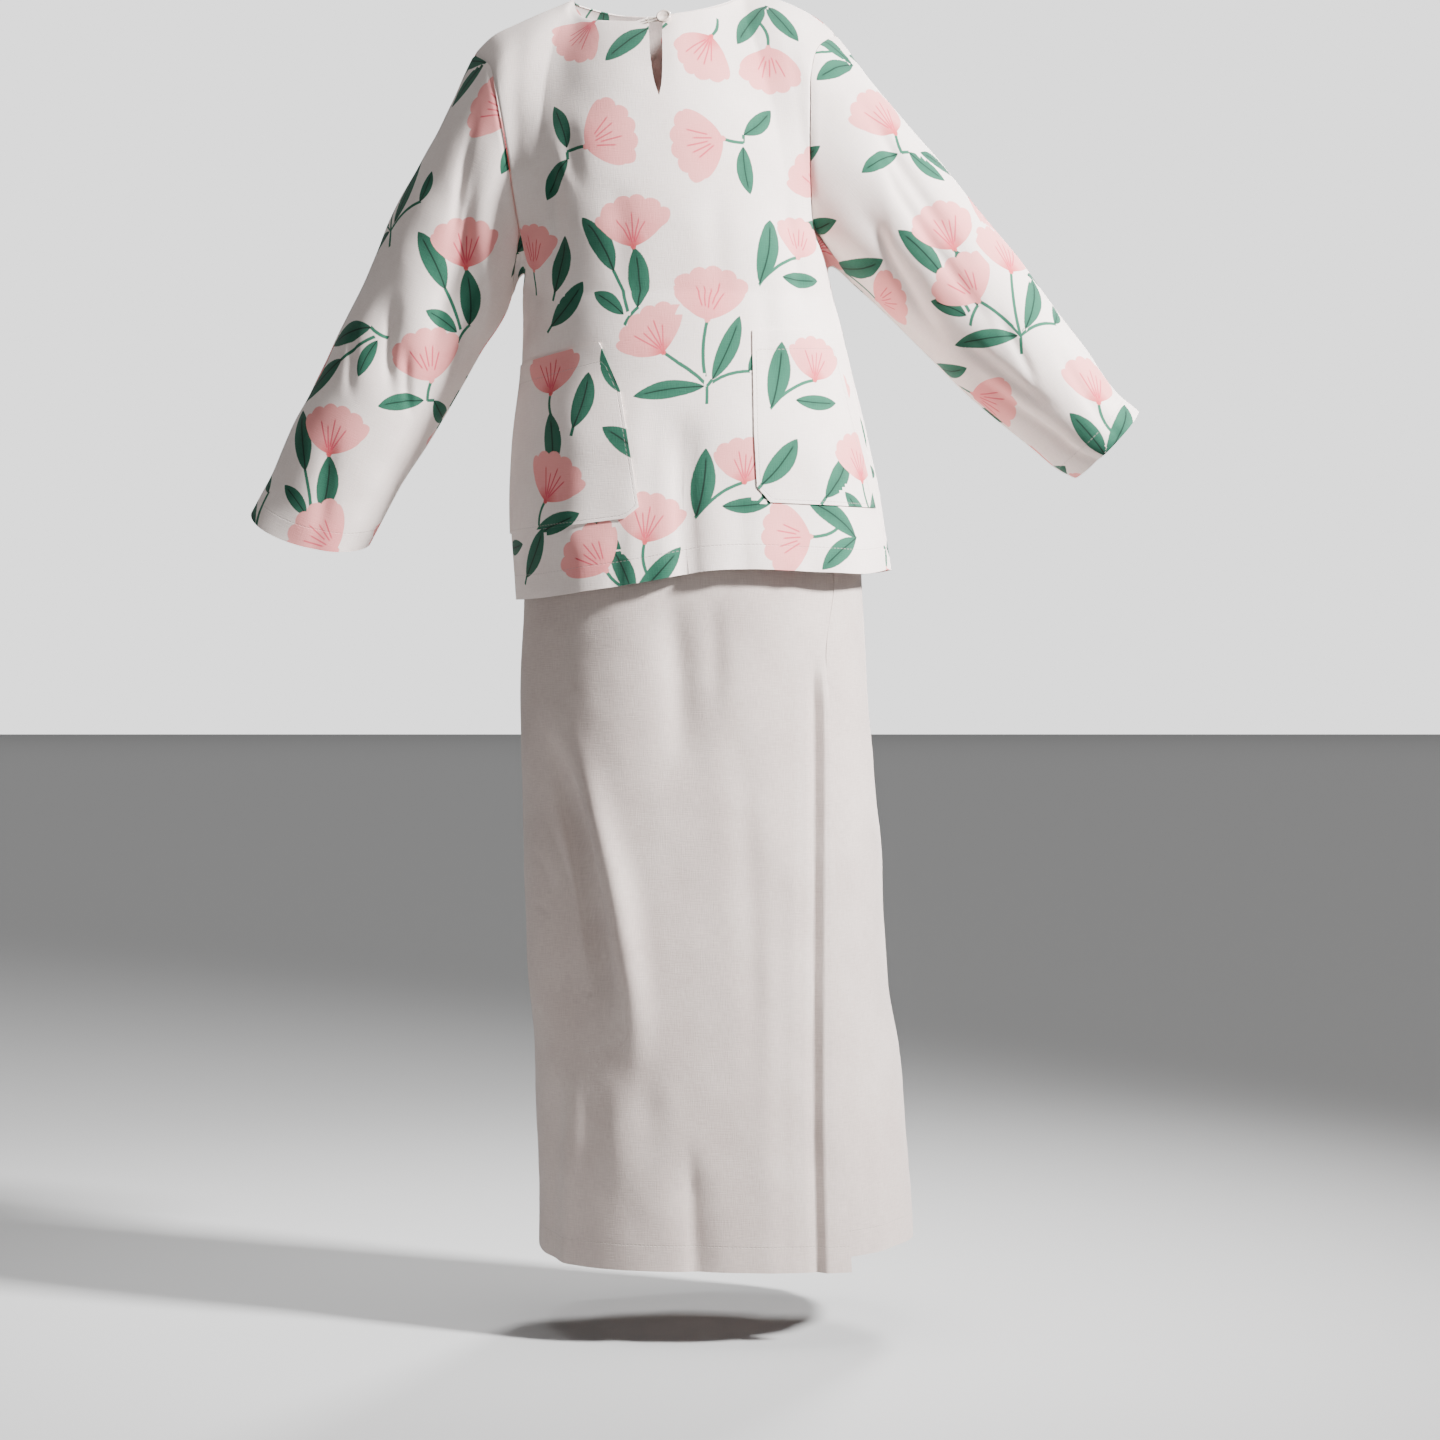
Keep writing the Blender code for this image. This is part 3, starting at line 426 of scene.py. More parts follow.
def flat_pattern(surface, facing):
    """A coarse grid of a piece's points laid flat, seen from outside, with their spacing kept."""
    across, up = np.meshgrid(
        np.linspace(0, 1, PATTERN_COLUMNS + 1), np.linspace(0, 1, PATTERN_ROWS + 1)
    )
    place = surface(across.ravel(), up.ravel()).reshape(across.shape + (3,))
    beside = np.linalg.norm(np.diff(place, axis=1), axis=-1)
    above = np.linalg.norm(np.diff(place, axis=0), axis=-1)
    falling = np.linalg.norm(place[1:, 1:] - place[:-1, :-1], axis=-1)
    rising = np.linalg.norm(place[1:, :-1] - place[:-1, 1:], axis=-1)
    way = place[-1].mean(axis=0) - place[0].mean(axis=0)
    way /= np.linalg.norm(way)
    flat = np.zeros(across.shape + (2,))
    flat[:, 1:, 0] = np.cumsum(beside, axis=1)
    flat[..., 0] -= flat[:, PATTERN_COLUMNS // 2, 0][:, None]
    flat[1:, :, 1] = np.cumsum(above, axis=0)
    flat[..., 1] += ((place[0] - place[0].mean(axis=0)) @ way)[None, :]
    flat[..., 1] += place[0, :, 2].mean()
    families = (
        (flat[:, :-1], flat[:, 1:], beside),
        (flat[:-1], flat[1:], above),
        (flat[:-1, :-1], flat[1:, 1:], falling),
        (flat[:-1, 1:], flat[1:, :-1], rising),
    )
    for _ in range(RELAX_ROUNDS):
        for low, high, length in families:
            gap = high - low
            now = np.linalg.norm(gap, axis=-1)
            pull = gap * (RELAX_STEP * (1 - length / now))[..., None]
            low += pull
            high -= pull
    flat[..., 0] *= facing
    return flat


def sampled(grid, across, up):
    """Reads a coarse grid between its points."""
    x = np.clip(across, 0, 1) * (grid.shape[1] - 1)
    y = np.clip(up, 0, 1) * (grid.shape[0] - 1)
    left = np.minimum(x.astype(int), grid.shape[1] - 2)
    low = np.minimum(y.astype(int), grid.shape[0] - 2)
    x = (x - left)[:, None]
    y = (y - low)[:, None]
    lower = grid[low, left] * (1 - x) + grid[low, left + 1] * x
    upper = grid[low + 1, left] * (1 - x) + grid[low + 1, left + 1] * x
    return lower * (1 - y) + upper * y


def cut_size(flat):
    """Width and length of a flat pattern, and its area, in metres."""
    size = np.ptp(flat.reshape(-1, 2), axis=0) * MM
    diagonal = flat[1:, 1:] - flat[:-1, :-1]
    other = flat[1:, :-1] - flat[:-1, 1:]
    area = np.abs(diagonal[..., 0] * other[..., 1] - diagonal[..., 1] * other[..., 0]).sum() / 2
    return [float(side) for side in size], float(area) * MM * MM


def from_edge(surface, across, up, place, edge):
    """How far places on a surface are from one of its edges."""
    zero = np.zeros(len(across))
    ends = {
        "first": (zero, up),
        "last": (zero + 1, up),
        "foot": (across, zero),
        "top": (across, zero + 1),
    }
    return np.linalg.norm(surface(*ends[edge]) - place, axis=-1)


def worn(surface, pattern, facing, seed, sewn_edges, creases):
    """A surface with seams, creases and rumples, which gives places and their flat pattern."""

    def fine(across, up):
        flat = sampled(pattern, across, up)
        place = surface(across, up)
        step = NORMAL_STEP / 4
        inside = [np.clip(way, step, 1 - step) for way in (across, up)]
        normal = facing * outward(surface, *inside, step)
        relief = rumple(flat, seed) + creases(across, up, place)
        gaps = [from_edge(surface, across, up, place, edge) for edge in sewn_edges]
        for gap in gaps:
            relief *= eased(gap, 0, SEAM_CALM)
        for gap in gaps:
            relief += groove(gap)
        return place + normal * relief[:, None], flat

    return fine


def lay(mesh, fine, columns, rows, first=0.0, last=1.0):
    """Adds a grid on a worn surface to a mesh, with its flat pattern as the UV map."""
    made = bmesh.ops.create_grid(mesh, x_segments=columns, y_segments=rows, size=0.5)["verts"]
    across = first + (last - first) * (np.array([vert.co.x for vert in made]) + 0.5)
    up = np.array([vert.co.y for vert in made]) + 0.5
    place, flat = fine(across, up)
    uv = mesh.loops.layers.uv.verify()
    for vert, point, spot in zip(made, place, flat):
        vert.co = point
        for loop in vert.link_loops:
            loop[uv].uv = spot
    return made


def corner_places(data):
    """The flat place and the place in space of every face corner, in millimetres."""
    flat = np.zeros(len(data.loops) * 2, np.float32)
    data.uv_layers[0].uv.foreach_get("vector", flat)
    place = np.zeros(len(data.vertices) * 3, np.float32)
    data.vertices.foreach_get("co", place)
    index = np.zeros(len(data.loops), np.int32)
    data.loops.foreach_get("vertex_index", index)
    return flat.reshape(-1, 2).astype(float), place.reshape(-1, 3)[index].astype(float) / MM


def keep(data, name, values):
    """Keeps a vector at every face corner, for the material to read."""
    layer = data.attributes.new(name, "FLOAT_VECTOR", "CORNER")
    layer.data.foreach_set("vector", np.ascontiguousarray(values, np.float32).ravel())


def cloth_piece(name, mesh, outside):
    """Turns a mesh in millimetres into a cloth object whose faces point the given way."""
    bmesh.ops.remove_doubles(mesh, verts=mesh.verts, dist=WELD)
    bmesh.ops.recalc_face_normals(mesh, faces=mesh.faces)
    face = max(mesh.faces, key=lambda item: item.calc_center_median().dot(outside))
    if face.normal.dot(outside) < 0:
        bmesh.ops.reverse_faces(mesh, faces=mesh.faces)
    for edge in mesh.edges:
        edge.smooth = not edge.is_boundary
    bmesh.ops.scale(mesh, vec=Vector((MM, MM, MM)), verts=mesh.verts)
    data = bpy.data.meshes.new(name)
    mesh.to_mesh(data)
    mesh.free()
    data.shade_smooth()
    return added(name, data)


def thickened(piece, thickness=SHELL):
    """Gives a piece the thickness of its cloth, inwards."""
    wall = piece.modifiers.new("thickness", "SOLIDIFY")
    wall.thickness = thickness * MM
    wall.offset = -1


def stands_for(piece, node):
    """Hangs a piece from the body's root and hides the solid that it stands for."""
    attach(piece, "root")
    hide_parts(node)


def declared(piece, node, pattern):
    """Hangs a piece of cloth in place of the solid that it stands for. The size that it was cut to is
    reckoned but not kept.
    """
    (width, length), area = cut_size(pattern)
    stands_for(piece, node)


# How far each edge of the neck slit stands from the slit's line, from its tip (0) to its mouth (1)
Slit = namedtuple("Slit", "up right left")
SLIT_EDGES = (
    Slit(0, 0, 0),
    Slit(0.12, 2.9, 1.7),
    Slit(0.45, 6.6, 2.6),
    Slit(0.8, 8.1, 2.3),
    Slit(1, 8.8, 2.2),
)
SLIT_X = 0.8
SLIT_TIP = -88
SLIT_MOUTH = -26
SLIT_BELOW = 0.7
SLIT_SOFT = 34
BODY_FACES = (104, 156)
TOP_HEM_STITCH = 19
BODY_RUMPLE = {FRONT: 2, BACK: 4}
BACK_SCATTER = 7
BODY_CREASES = {}
BODY_CREASES[FRONT] = (
    Fold(-86, -120, -79, -232, 2, 4.5, -2.4, 0),
    Fold(-97, -190, -88, -272, -2, 5, -2, 0),
    Fold(-70, -100, -58, -170, -3, 7, -2.2, 0),
    Fold(14, -330, 25, -500, 2, 6, -3.1, 1),
    Fold(30, -350, 37, -500, 1, 6, 2.2, 1),
    Fold(0, -300, -8, -500, -2, 9, -2, 0.8),
    Fold(-30, -410, -36, -500, 1, 5, -1.9, 1),
    Fold(60, -380, 66, -500, 2, 7, -2, 1),
    Fold(98, -160, 112, -262, 3, 5, -2.2, 0),
    Fold(84, -215, 90, -330, -2, 8, -1.9, 0),
    Fold(108, -440, 112, -500, 0, 5, 1.9, 1),
    Fold(-70, -430, -74, -500, 0, 6, -1.7, 1),
    Fold(-34, -150, -30, -250, 3, 9, -1.5, 0),
    Fold(46, -150, 52, -260, -3, 9, -1.5, 0),
)
BODY_CREASES[BACK] = (
    Fold(-84, -110, -76, -250, 3, 5, -2.4, 0),
    Fold(90, -130, 99, -270, -2, 5, -2.4, 0),
    Fold(-36, -330, -50, -500, 3, 7, 2.4, 1),
    Fold(12, -290, 20, -500, 2, 7, 2.2, 1),
    Fold(64, -340, 82, -500, 2, 7, 2.8, 1),
    Fold(118, -380, 130, -500, 2, 7, -2.2, 1),
    Fold(-90, -370, -96, -500, 2, 7, -2.2, 1),
    Fold(20, -90, 26, -210, 4, 10, -1.7, 0),
)


def drawn_apart(place, side, middle):
    """Moves the cloth beside the neck slit to one edge of it. Middle is the front's middle line."""
    height = place[:, 2]
    line = np.interp(height, middle[:, 2], middle[:, 0])
    up = (height - SLIT_TIP) / (SLIT_MOUTH - SLIT_TIP)
    edge = along(SLIT_EDGES, "right" if side < 0 else "left", np.clip(up, 0, 1))
    move = (SLIT_X + side * edge - line) * eased(up, -SLIT_BELOW, 0)
    place[:, 0] += move * (1 - eased(np.abs(place[:, 0] - line), 0, SLIT_SOFT))
    return place


def panel_mesh(face):
    """The front, in two halves that part at the slit, or the back, with its flat pattern."""
    surface = body_grid(face)
    pattern = flat_pattern(surface, -face)

    def creases(across, up, place):
        return fold_relief(BODY_CREASES[face], place[:, 0], place[:, 2])

    fine = worn(surface, pattern, -face, BODY_RUMPLE[face], ("first", "last"), creases)
    mesh = bmesh.new()
    columns, rows = BODY_FACES
    if face == BACK:
        lay(mesh, fine, columns, rows)
        return mesh, pattern
    ups = np.linspace(0, 1, rows + 1)
    middle = surface(np.full(rows + 1, 0.5), ups)
    for side in (RIGHT, LEFT):

        def half(across, up, side=side):
            place, flat = fine(across, up)
            return drawn_apart(place, side, middle), flat

        first = 0 if side < 0 else 0.5
        lay(mesh, half, columns // 2, rows, first, first + 0.5)
    return mesh, pattern


# The print: sprigs of fan-shaped flowers, pointed leaves and thin stems, in millimetres, each
# motif seen from its own base with its Y the way that it points
Bloom = namedtuple("Bloom", "x y turn size")
Leaf = namedtuple("Leaf", "x y turn length width")
Stem = namedtuple("Stem", "x1 y1 x2 y2 bow")
Sprig = namedtuple("Sprig", "kind x y turn")
BLOOM_HEIGHT = 39.5
LEAF_BEND = 0.12
FAR = 1e3


def local(flat, x, y, turn):
    """Places as seen from a motif that stands at x and y and is turned by some degrees."""
    angle = math.radians(turn)
    beside = flat - np.array((x, y))
    across = beside[:, 0] * math.cos(angle) + beside[:, 1] * math.sin(angle)
    above = -beside[:, 0] * math.sin(angle) + beside[:, 1] * math.cos(angle)
    return across, above


def in_bloom(flat, x, y, turn, size, tone):
    """Places in a flower, and roughly how far they are from it."""
    across, above = local(flat, x, y, turn)
    far = np.hypot(across, above - BLOOM_HEIGHT * size / 2) - BLOOM_HEIGHT * size / 2
    return far, np.column_stack((across / size, above / size, np.full(len(flat), tone)))


def past_ends(share, length):
    """How far places lie past the ends of a motif, by their share of its length."""
    return np.clip(np.abs(share - 0.5) - 0.5, 0, None) * length


def in_leaf(flat, x, y, turn, length, width, tone):
    """Places in a leaf, by its width and its length, and roughly how far they are from it."""
    across, above = local(flat, x, y, turn)
    share = above / length
    across = across - LEAF_BEND * width * 4 * share * (1 - share)
    far = np.hypot(across, past_ends(share, length)) - width / 2
    return far, np.column_stack((across / width, share, np.full(len(flat), tone)))


def in_stem(flat, x1, y1, x2, y2, bow):
    """Places beside a stem's bowed line, and roughly how far they are from it."""
    length = max(math.hypot(x2 - x1, y2 - y1), 1)
    across, above = local(flat, x1, y1, math.degrees(math.atan2(y2 - y1, x2 - x1)) - 90)
    share = above / length
    across = across - bow * 4 * share * (1 - share)
    far = np.hypot(across, past_ends(share, length))
    return far, np.column_stack((across, share, share * 0))


# The sprigs that the print is made of, each with its origin at its first flower's base or its fork
SPRIGS = {
    "leaf": ((), (Leaf(0, 0, 0, 46, 17),), (Stem(0, -6, 0, 2, 0),)),
    "bloom": ((Bloom(0, 0, 0, 1),), (), (Stem(0, 0, 2, -20, 2),)),
    "pair": (
        (Bloom(-33, 28, 34, 1), Bloom(-1, 53, -3, 1.05)),
        (Leaf(4, 5, -22, 55, 15), Leaf(-2, 0, 97, 54, 14), Leaf(33, 12, -26, 25, 10)),
        (Stem(0, -14, 0, 0, 0), Stem(0, 0, -33, 28, 2), Stem(0, 0, -1, 53, -3),
         Stem(0, 0, 33, 12, -3), Stem(0, 0, 4, 5, 0)),
    ),
    "single": (
        (Bloom(0, 0, -4, 0.9),),
        (Leaf(-38, -25, -8, 54, 18), Leaf(-18, -18, -87, 40, 12)),
        (Stem(-38, -25, 0, 0, -4),),
    ),
    "hanging": (
        (Bloom(0, 0, 2, 1),),
        (Leaf(4, -47, 4, 46, 17), Leaf(-16, -18, 28, 52, 17), Leaf(-7, -52, 54, 32, 12)),
        (Stem(-4, -49, -16, -18, 1), Stem(4, -47, -6, -60, 1), Stem(0, 0, 1, -6, 0)),
    ),
    "side": (
        (Bloom(0, 0, 0, 1.05),),
        (Leaf(-9, -15, 84, 38, 13), Leaf(0, -18, -152, 36, 14)),
        (Stem(0, 0, -6, -16, 1), Stem(-6, -16, 0, -18, 0)),
    ),
    "fork": (
        (Bloom(0, 0, 3, 1),),
        (Leaf(0, -44, -32, 54, 16), Leaf(0, -44, 36, 44, 15)),
        (Stem(0, 0, 9, -27, 3), Stem(9, -27, 0, -44, 0)),
    ),
}
SPRIG_CENTRES = {
    "leaf": (0, 22), "bloom": (0, 18),
    "pair": (0, 25), "single": (0, 2), "hanging": (-5, -10), "side": (0, 8), "fork": (0, -8),
}
SPRIG_SPACE = 76
SPRIG_TRIES = 2600
SPRIG_MARGIN = 20
SCATTERED = ("single", "hanging", "side", "pair", "fork")

# How much a motif's tone changes from sprig to sprig, and from one to the next in a sprig
BLOOM_TONES = (0.37, 0.61)
LEAF_TONES = (0.53, 0.29)

# Placing a sprig: how deep the side that is seen reaches, and how many corners say its turn
SEEN_DEPTH = 10
SEEN_CORNERS = 240


def turned(x, y, turn, placed):
    """A point of a sprig where the sprig was placed."""
    angle = math.radians(placed.turn)
    return (
        placed.x + x * math.cos(angle) - y * math.sin(angle),
        placed.y + x * math.sin(angle) + y * math.cos(angle),
        turn + placed.turn,
    )


def drawn_print(data, flat, sprigs):
    """Keeps at each face's corners where they lie in the flower, leaf and stem nearest to it."""
    sides = np.zeros(len(data.polygons), np.int32)
    data.polygons.foreach_get("loop_total", sides)
    face_of = np.repeat(np.arange(len(sides)), sides)
    centres = np.zeros((len(sides), 2))
    np.add.at(centres, face_of, flat)
    centres /= sides[:, None]
    nearest = {name: np.full(len(sides), FAR) for name in ("bloom", "leaf", "stem")}
    kept = {name: np.full((len(flat), 3), FAR) for name in nearest}

    def offered(name, motif, *numbers):
        far, _ = motif(centres, *numbers)
        closer = far < nearest[name]
        nearest[name][closer] = far[closer]
        corners = closer[face_of]
        kept[name][corners] = motif(flat[corners], *numbers)[1]

    for number, placed in enumerate(sprigs):
        blooms, leaves, stems = SPRIGS[placed.kind]
        for count, bloom in enumerate(blooms):
            tone = (number * BLOOM_TONES[0] + count * BLOOM_TONES[1]) % 1
            stand = turned(bloom.x, bloom.y, bloom.turn, placed)
            offered("bloom", in_bloom, *stand, bloom.size, tone)
        for count, leaf in enumerate(leaves):
            tone = (number * LEAF_TONES[0] + count * LEAF_TONES[1]) % 1
            stand = turned(leaf.x, leaf.y, leaf.turn, placed)
            offered("leaf", in_leaf, *stand, leaf.length, leaf.width, tone)
        for stem in stems:
            ends = turned(stem.x1, stem.y1, 0, placed)[:2] + turned(stem.x2, stem.y2, 0, placed)[:2]
            offered("stem", in_stem, *ends, stem.bow)
    for name, values in kept.items():
        keep(data, name, values)


def sprig_centre(sprig):
    """The middle of a placed sprig."""
    x, y = SPRIG_CENTRES[sprig.kind]
    return np.array(turned(x, y, 0, sprig)[:2])


def filled(flat, placed, seed):
    """Adds sprigs wherever the placed ones leave room, turned every way."""
    chance = np.random.default_rng(seed)
    low = flat.min(axis=0) - SPRIG_MARGIN
    high = flat.max(axis=0) + SPRIG_MARGIN
    sprigs = list(placed)
    centres = [sprig_centre(sprig) for sprig in sprigs]
    for _ in range(SPRIG_TRIES):
        centre = chance.uniform(low, high)
        if centres and np.linalg.norm(np.array(centres) - centre, axis=-1).min() < SPRIG_SPACE:
            continue
        kind = SCATTERED[len(sprigs) % len(SCATTERED)]
        turn = chance.uniform(0, 360)
        reach = sprig_centre(Sprig(kind, 0, 0, turn))
        sprigs.append(Sprig(kind, *(centre - reach), turn))
        centres.append(centre)
    return sprigs


def on_pattern(flat, place, seen):
    """Turns sprigs placed as seen from the front into places on the flat pattern."""
    facing = place[:, 1] < np.median(place[:, 1]) + SEEN_DEPTH
    found = []
    for sprig in seen:
        gap = np.hypot(place[:, 0] - sprig.x, place[:, 2] - sprig.y) + np.where(facing, 0, FAR)
        here = int(gap.argmin())
        close = np.argsort(gap)[:SEEN_CORNERS]
        spread_seen = place[close][:, [0, 2]] - place[here][[0, 2]]
        spread_flat = flat[close] - flat[here]
        laid, *_ = np.linalg.lstsq(spread_seen, spread_flat, rcond=None)
        rest = np.array((sprig.x, sprig.y)) - place[here][[0, 2]]
        x, y = flat[here] + rest @ laid
        twist = math.degrees(math.atan2(laid[0, 1] - laid[1, 0], laid[0, 0] + laid[1, 1]))
        found.append(Sprig(sprig.kind, x, y, sprig.turn + twist))
    return found


def print_on(data, seen, seed, stitch):
    """Keeps the print and the distance from the stitching on a piece, for its material."""
    flat, place = corner_places(data)
    sprigs = on_pattern(flat, place, seen)
    if seed:
        sprigs = filled(flat, sprigs, seed)
    drawn_print(data, flat, sprigs)
    keep(data, "stitch", stitch(flat, place))


FRONT_SPRIGS = (
    Sprig("pair", 38, -314, 0),
    Sprig("single", 67, -388, 2),
    Sprig("single", 109, -212, -3),
    Sprig("hanging", -19, -206, 2),
    Sprig("bloom", -98, -220, -8),
    Sprig("leaf", -81, -240, -14),
    Sprig("leaf", -84, -266, -46),
    Sprig("side", -56, -128, -62),
    Sprig("side", 50, -122, 104),
    Sprig("bloom", 41, -40, 150),
    Sprig("fork", 86, -48, 176),
    Sprig("bloom", -52, -26, 140),
    Sprig("leaf", -8, -34, 133),
    Sprig("bloom", -40, -456, 42),
    Sprig("fork", -10, -434, -12),
    Sprig("fork", 118, -430, 92),
    Sprig("hanging", -88, -330, 8),
    Sprig("side", -60, -400, 20),
    Sprig("leaf", -104, -462, -30),
    Sprig("single", 138, -330, 0),
    Sprig("single", -118, -420, 0),
    Sprig("leaf", 80, -401, -42),
    Sprig("fork", 128, -160, 30),
)


def hem_stitch(pattern, inset, number=0):
    """How far each place is from the stitching beside a row of the flat pattern, 0 or -1."""
    row = pattern[number][np.argsort(pattern[number, :, 0])]

    def stitch(flat, place):
        above = flat[:, 1] - np.interp(flat[:, 0], row[:, 0], row[:, 1])
        inside = -above if number else above
        return np.column_stack((inside - inset, flat[:, 0], inside))

    return stitch


# The printed cloth: a pale plain weave with pink flowers and green leaves
def colour(red, green, blue):
    """A colour given as it looks on a screen, 0 to 255, by the rule for sRGB."""
    shares = np.array((red, green, blue)) / 255
    light = np.where(shares <= 0.04045, shares / 12.92, ((shares + 0.055) / 1.055) ** 2.4)
    return (*[float(value) for value in light], 1)


class Value:
    """A socket in a material's nodes, which takes part in sums as a number does."""

    def __init__(self, tree, socket=None):
        self.tree = tree
        self.socket = socket

    def node(self, kind, settings, sockets, output=0):
        """Adds a node of any kind: its settings first, then its sockets' values or links."""
        made = self.tree.nodes.new(kind)
        for name, value in settings.items():
            setattr(made, name, value)
        for name, value in sockets.items():
            if isinstance(value, Value):
                self.tree.links.new(value.socket, made.inputs[name])
            else:
                made.inputs[name].default_value = value
        return Value(self.tree, made.outputs[output])

    def maths(self, operation, second=0.0, clamped=False):
        """One step of reckoning with this value and a second."""
        settings = {"operation": operation, "use_clamp": clamped}
        return self.node("ShaderNodeMath", settings, {0: self, 1: second})

    def __add__(self, other):
        return self.maths("ADD", other)

    __radd__ = __add__

    def __sub__(self, other):
        return self.maths("SUBTRACT", other)

    def __rsub__(self, other):
        return self * -1.0 + other

    def __mul__(self, other):
        return self.maths("MULTIPLY", other)

    __rmul__ = __mul__

    def __truediv__(self, other):
        return self.maths("DIVIDE", other)

    def __pow__(self, other):
        return self.maths("POWER", other)

    def __abs__(self):
        return self.maths("ABSOLUTE")

    def clamped(self):
        """The value held between 0 and 1."""
        return self.maths("ADD", 0.0, clamped=True)

    def under(self, edge, soft):
        """1 where the value lies under the edge and 0 where it lies over it, softly."""
        return ((edge - self) / soft + 0.5).clamped()

    def stepped(self, low, high):
        """0 under the low value and 1 over the high one, with a smooth step between."""
        sockets = {0: self, 1: low, 2: high}
        return self.node("ShaderNodeMapRange", {"interpolation_type": "SMOOTHSTEP"}, sockets)

    def mixed(self, first, second):
        """The first colour where this is 0 and the second where it is 1."""
        sockets = {0: self, 6: first, 7: second}
        return self.node("ShaderNodeMix", {"data_type": "RGBA"}, sockets, output=2)

    def kept(self, name):
        """The three parts of a vector kept on the mesh."""
        vector = self.node("ShaderNodeAttribute", {"attribute_name": name}, {}, output=1)
        return [self.node("ShaderNodeSeparateXYZ", {}, {0: vector}, output=part) for part in range(3)]


def cloth_shader(name, roughness, sheen):
    """A material, its shader, and a value that others are built from."""
    material = bpy.data.materials.new(name)
    material.use_nodes = True
    shader = material.node_tree.nodes["Principled BSDF"]
    shader.inputs["Roughness"].default_value = roughness
    shader.inputs["Sheen Weight"].default_value = sheen
    shader.inputs["Specular IOR Level"].default_value = CLOTH_GLOSS
    return material, shader, Value(material.node_tree)


def weave(start, thread):
    """A plain weave of uneven threads, about 0 on average, and a slow change over the cloth."""
    flat = start.node("ShaderNodeTexCoord", {}, {}, output=2)
    fine = 1 / thread
    long = THREAD_STRETCH / thread
    noises = []
    for scale in ((fine, long, 1), (long, fine, 1), (SLOW_CHANGE, SLOW_CHANGE, 1)):
        stretched = start.node("ShaderNodeVectorMath", {"operation": "MULTIPLY"}, {0: flat, 1: scale})
        sockets = {"Vector": stretched, "Scale": 1.0, "Detail": WEAVE_DETAIL}
        noises.append(start.node("ShaderNodeTexNoise", {}, sockets) - 0.5)
    return noises[0] + noises[1], noises[2]


def dashes(start):
    """Stitches: short dashes along the stitching line that is kept on the mesh."""
    gap, beside, _ = start.kept("stitch")
    beat = (beside / STITCH).maths("FRACT")
    return abs(gap).under(*STITCH_EDGE) * beat.under(*STITCH_END)


def finished(start, shader, base, height, strength, distance):
    """Joins a colour and a bump to the shader."""
    start.tree.links.new(base.socket, shader.inputs["Base Color"])
    sockets = {"Strength": strength, "Distance": distance, "Height": height}
    bump = start.node("ShaderNodeBump", {}, sockets)
    start.tree.links.new(bump.socket, shader.inputs["Normal"])


def sewn(start, shader, base, threads, seen, thread_colour):
    """Adds the stitches to a cloth's colour and relief, and joins both to its shader."""
    line = dashes(start)
    base = (line * seen).mixed(base, thread_colour)
    finished(start, shader, base, threads * THREAD_RELIEF - line * STITCH_RELIEF, *CLOTH_BUMP)


# The cloth's gloss, its relief (strength and height in metres) and what takes part in it
CLOTH_GLOSS = 0.25
CLOTH_BUMP = (0.5, 0.0006)
THREAD_STRETCH = 0.08
SLOW_CHANGE = 0.018
WEAVE_DETAIL = 2.0
THREAD_RELIEF = 0.5
STITCH_RELIEF = 0.8

# A stitch's length with its gap, the half width and softness of its line, and the share of it
# that the thread shows, with that end's softness
STITCH = 3.2
STITCH_EDGE = (0.4, 0.4)
STITCH_END = (0.66, 0.1)

# Where each edge of the print lies, and how soft it is
PETAL_EDGE = (0, 0.6)
LINE_EDGE = (0.6, 0.4)
LINES_EACH_SIDE = (2.6, 0.1)
WITH_HEART = (0.45, 0.1)
BLADE_EDGE = (0, 0.04)
BLADE_ENDS = (0.5, 0.01)
RIB_SHADE = (0.1, 0.5)
VEIN_EDGE = (0.035, 0.03)
VEIN_END = (0.84, 0.06)
STEM_EDGE = (1.35, 0.5)
STEM_ENDS = (0.53, 0.02)

# The flower's fan of petals, which narrows between two angles, and the dark lines on them
FLANKS = (0.77, 1.5)
LOBES = 9.0
LOBE_SHIFT = 2
LOBE_POWER = 0.7
LOBE_DEPTH = 0.075
FAN_REACH = 0.935
FLANK_CUT = 0.94
LINE_SPACE = 0.235
LINE_BEAT = 2.4
LINE_SHIFT = 9
LINE_START = 10
LINE_START_SPREAD = 2
LINE_START_HEART = -6
LINE_START_SOFT = 1.5
LINE_STOP = 25
LINE_STOP_SPREAD = 3
LINE_STOP_SOFT = 2
LINE_STRENGTH = 0.85
DEEP_RADIUS = 30
DEEP_STRENGTH = 0.5
HEART_RADIUS = 13
HEART_STRENGTH = 0.8

# The leaf's outline and its green
BLADE_WIDTH = 0.52
BLADE_POWER = 0.85
RIB_STRENGTH = 0.6
LEAF_TONE = 0.3
VEIN_STRENGTH = 0.9

# How far threads fray an edge, and how much slow change and threads add to a shade's level
FRAY = {"petal": 0.8, "leaf": 0.04, "stem": 0.4}
Shade = namedtuple("Shade", "slow threads level")
PETAL_MOTTLE = Shade(0.8, 0.5, 0)
LEAF_MOTTLE = Shade(0.5, 0.7, 0)
GROUND_MOTTLE = Shade(1.4, 1.1, 0.35)
PRINT_THREAD = 0.7
GROUND = colour(238, 225, 219)
GROUND_SHADE = colour(224, 208, 201)
PETAL = colour(232, 152, 149)
PETAL_DEEP = colour(215, 116, 119)
PETAL_LINE = colour(200, 62, 84)
PETAL_HEART = colour(188, 36, 52)
LEAF_GREEN = colour(38, 92, 72)
LEAF_DARK = colour(20, 62, 48)
VEIN_DARK = colour(8, 32, 24)
STEM_GREEN = colour(40, 98, 76)
PRINT_STITCH = colour(178, 160, 156)
PRINT_STITCH_SEEN = 0.3

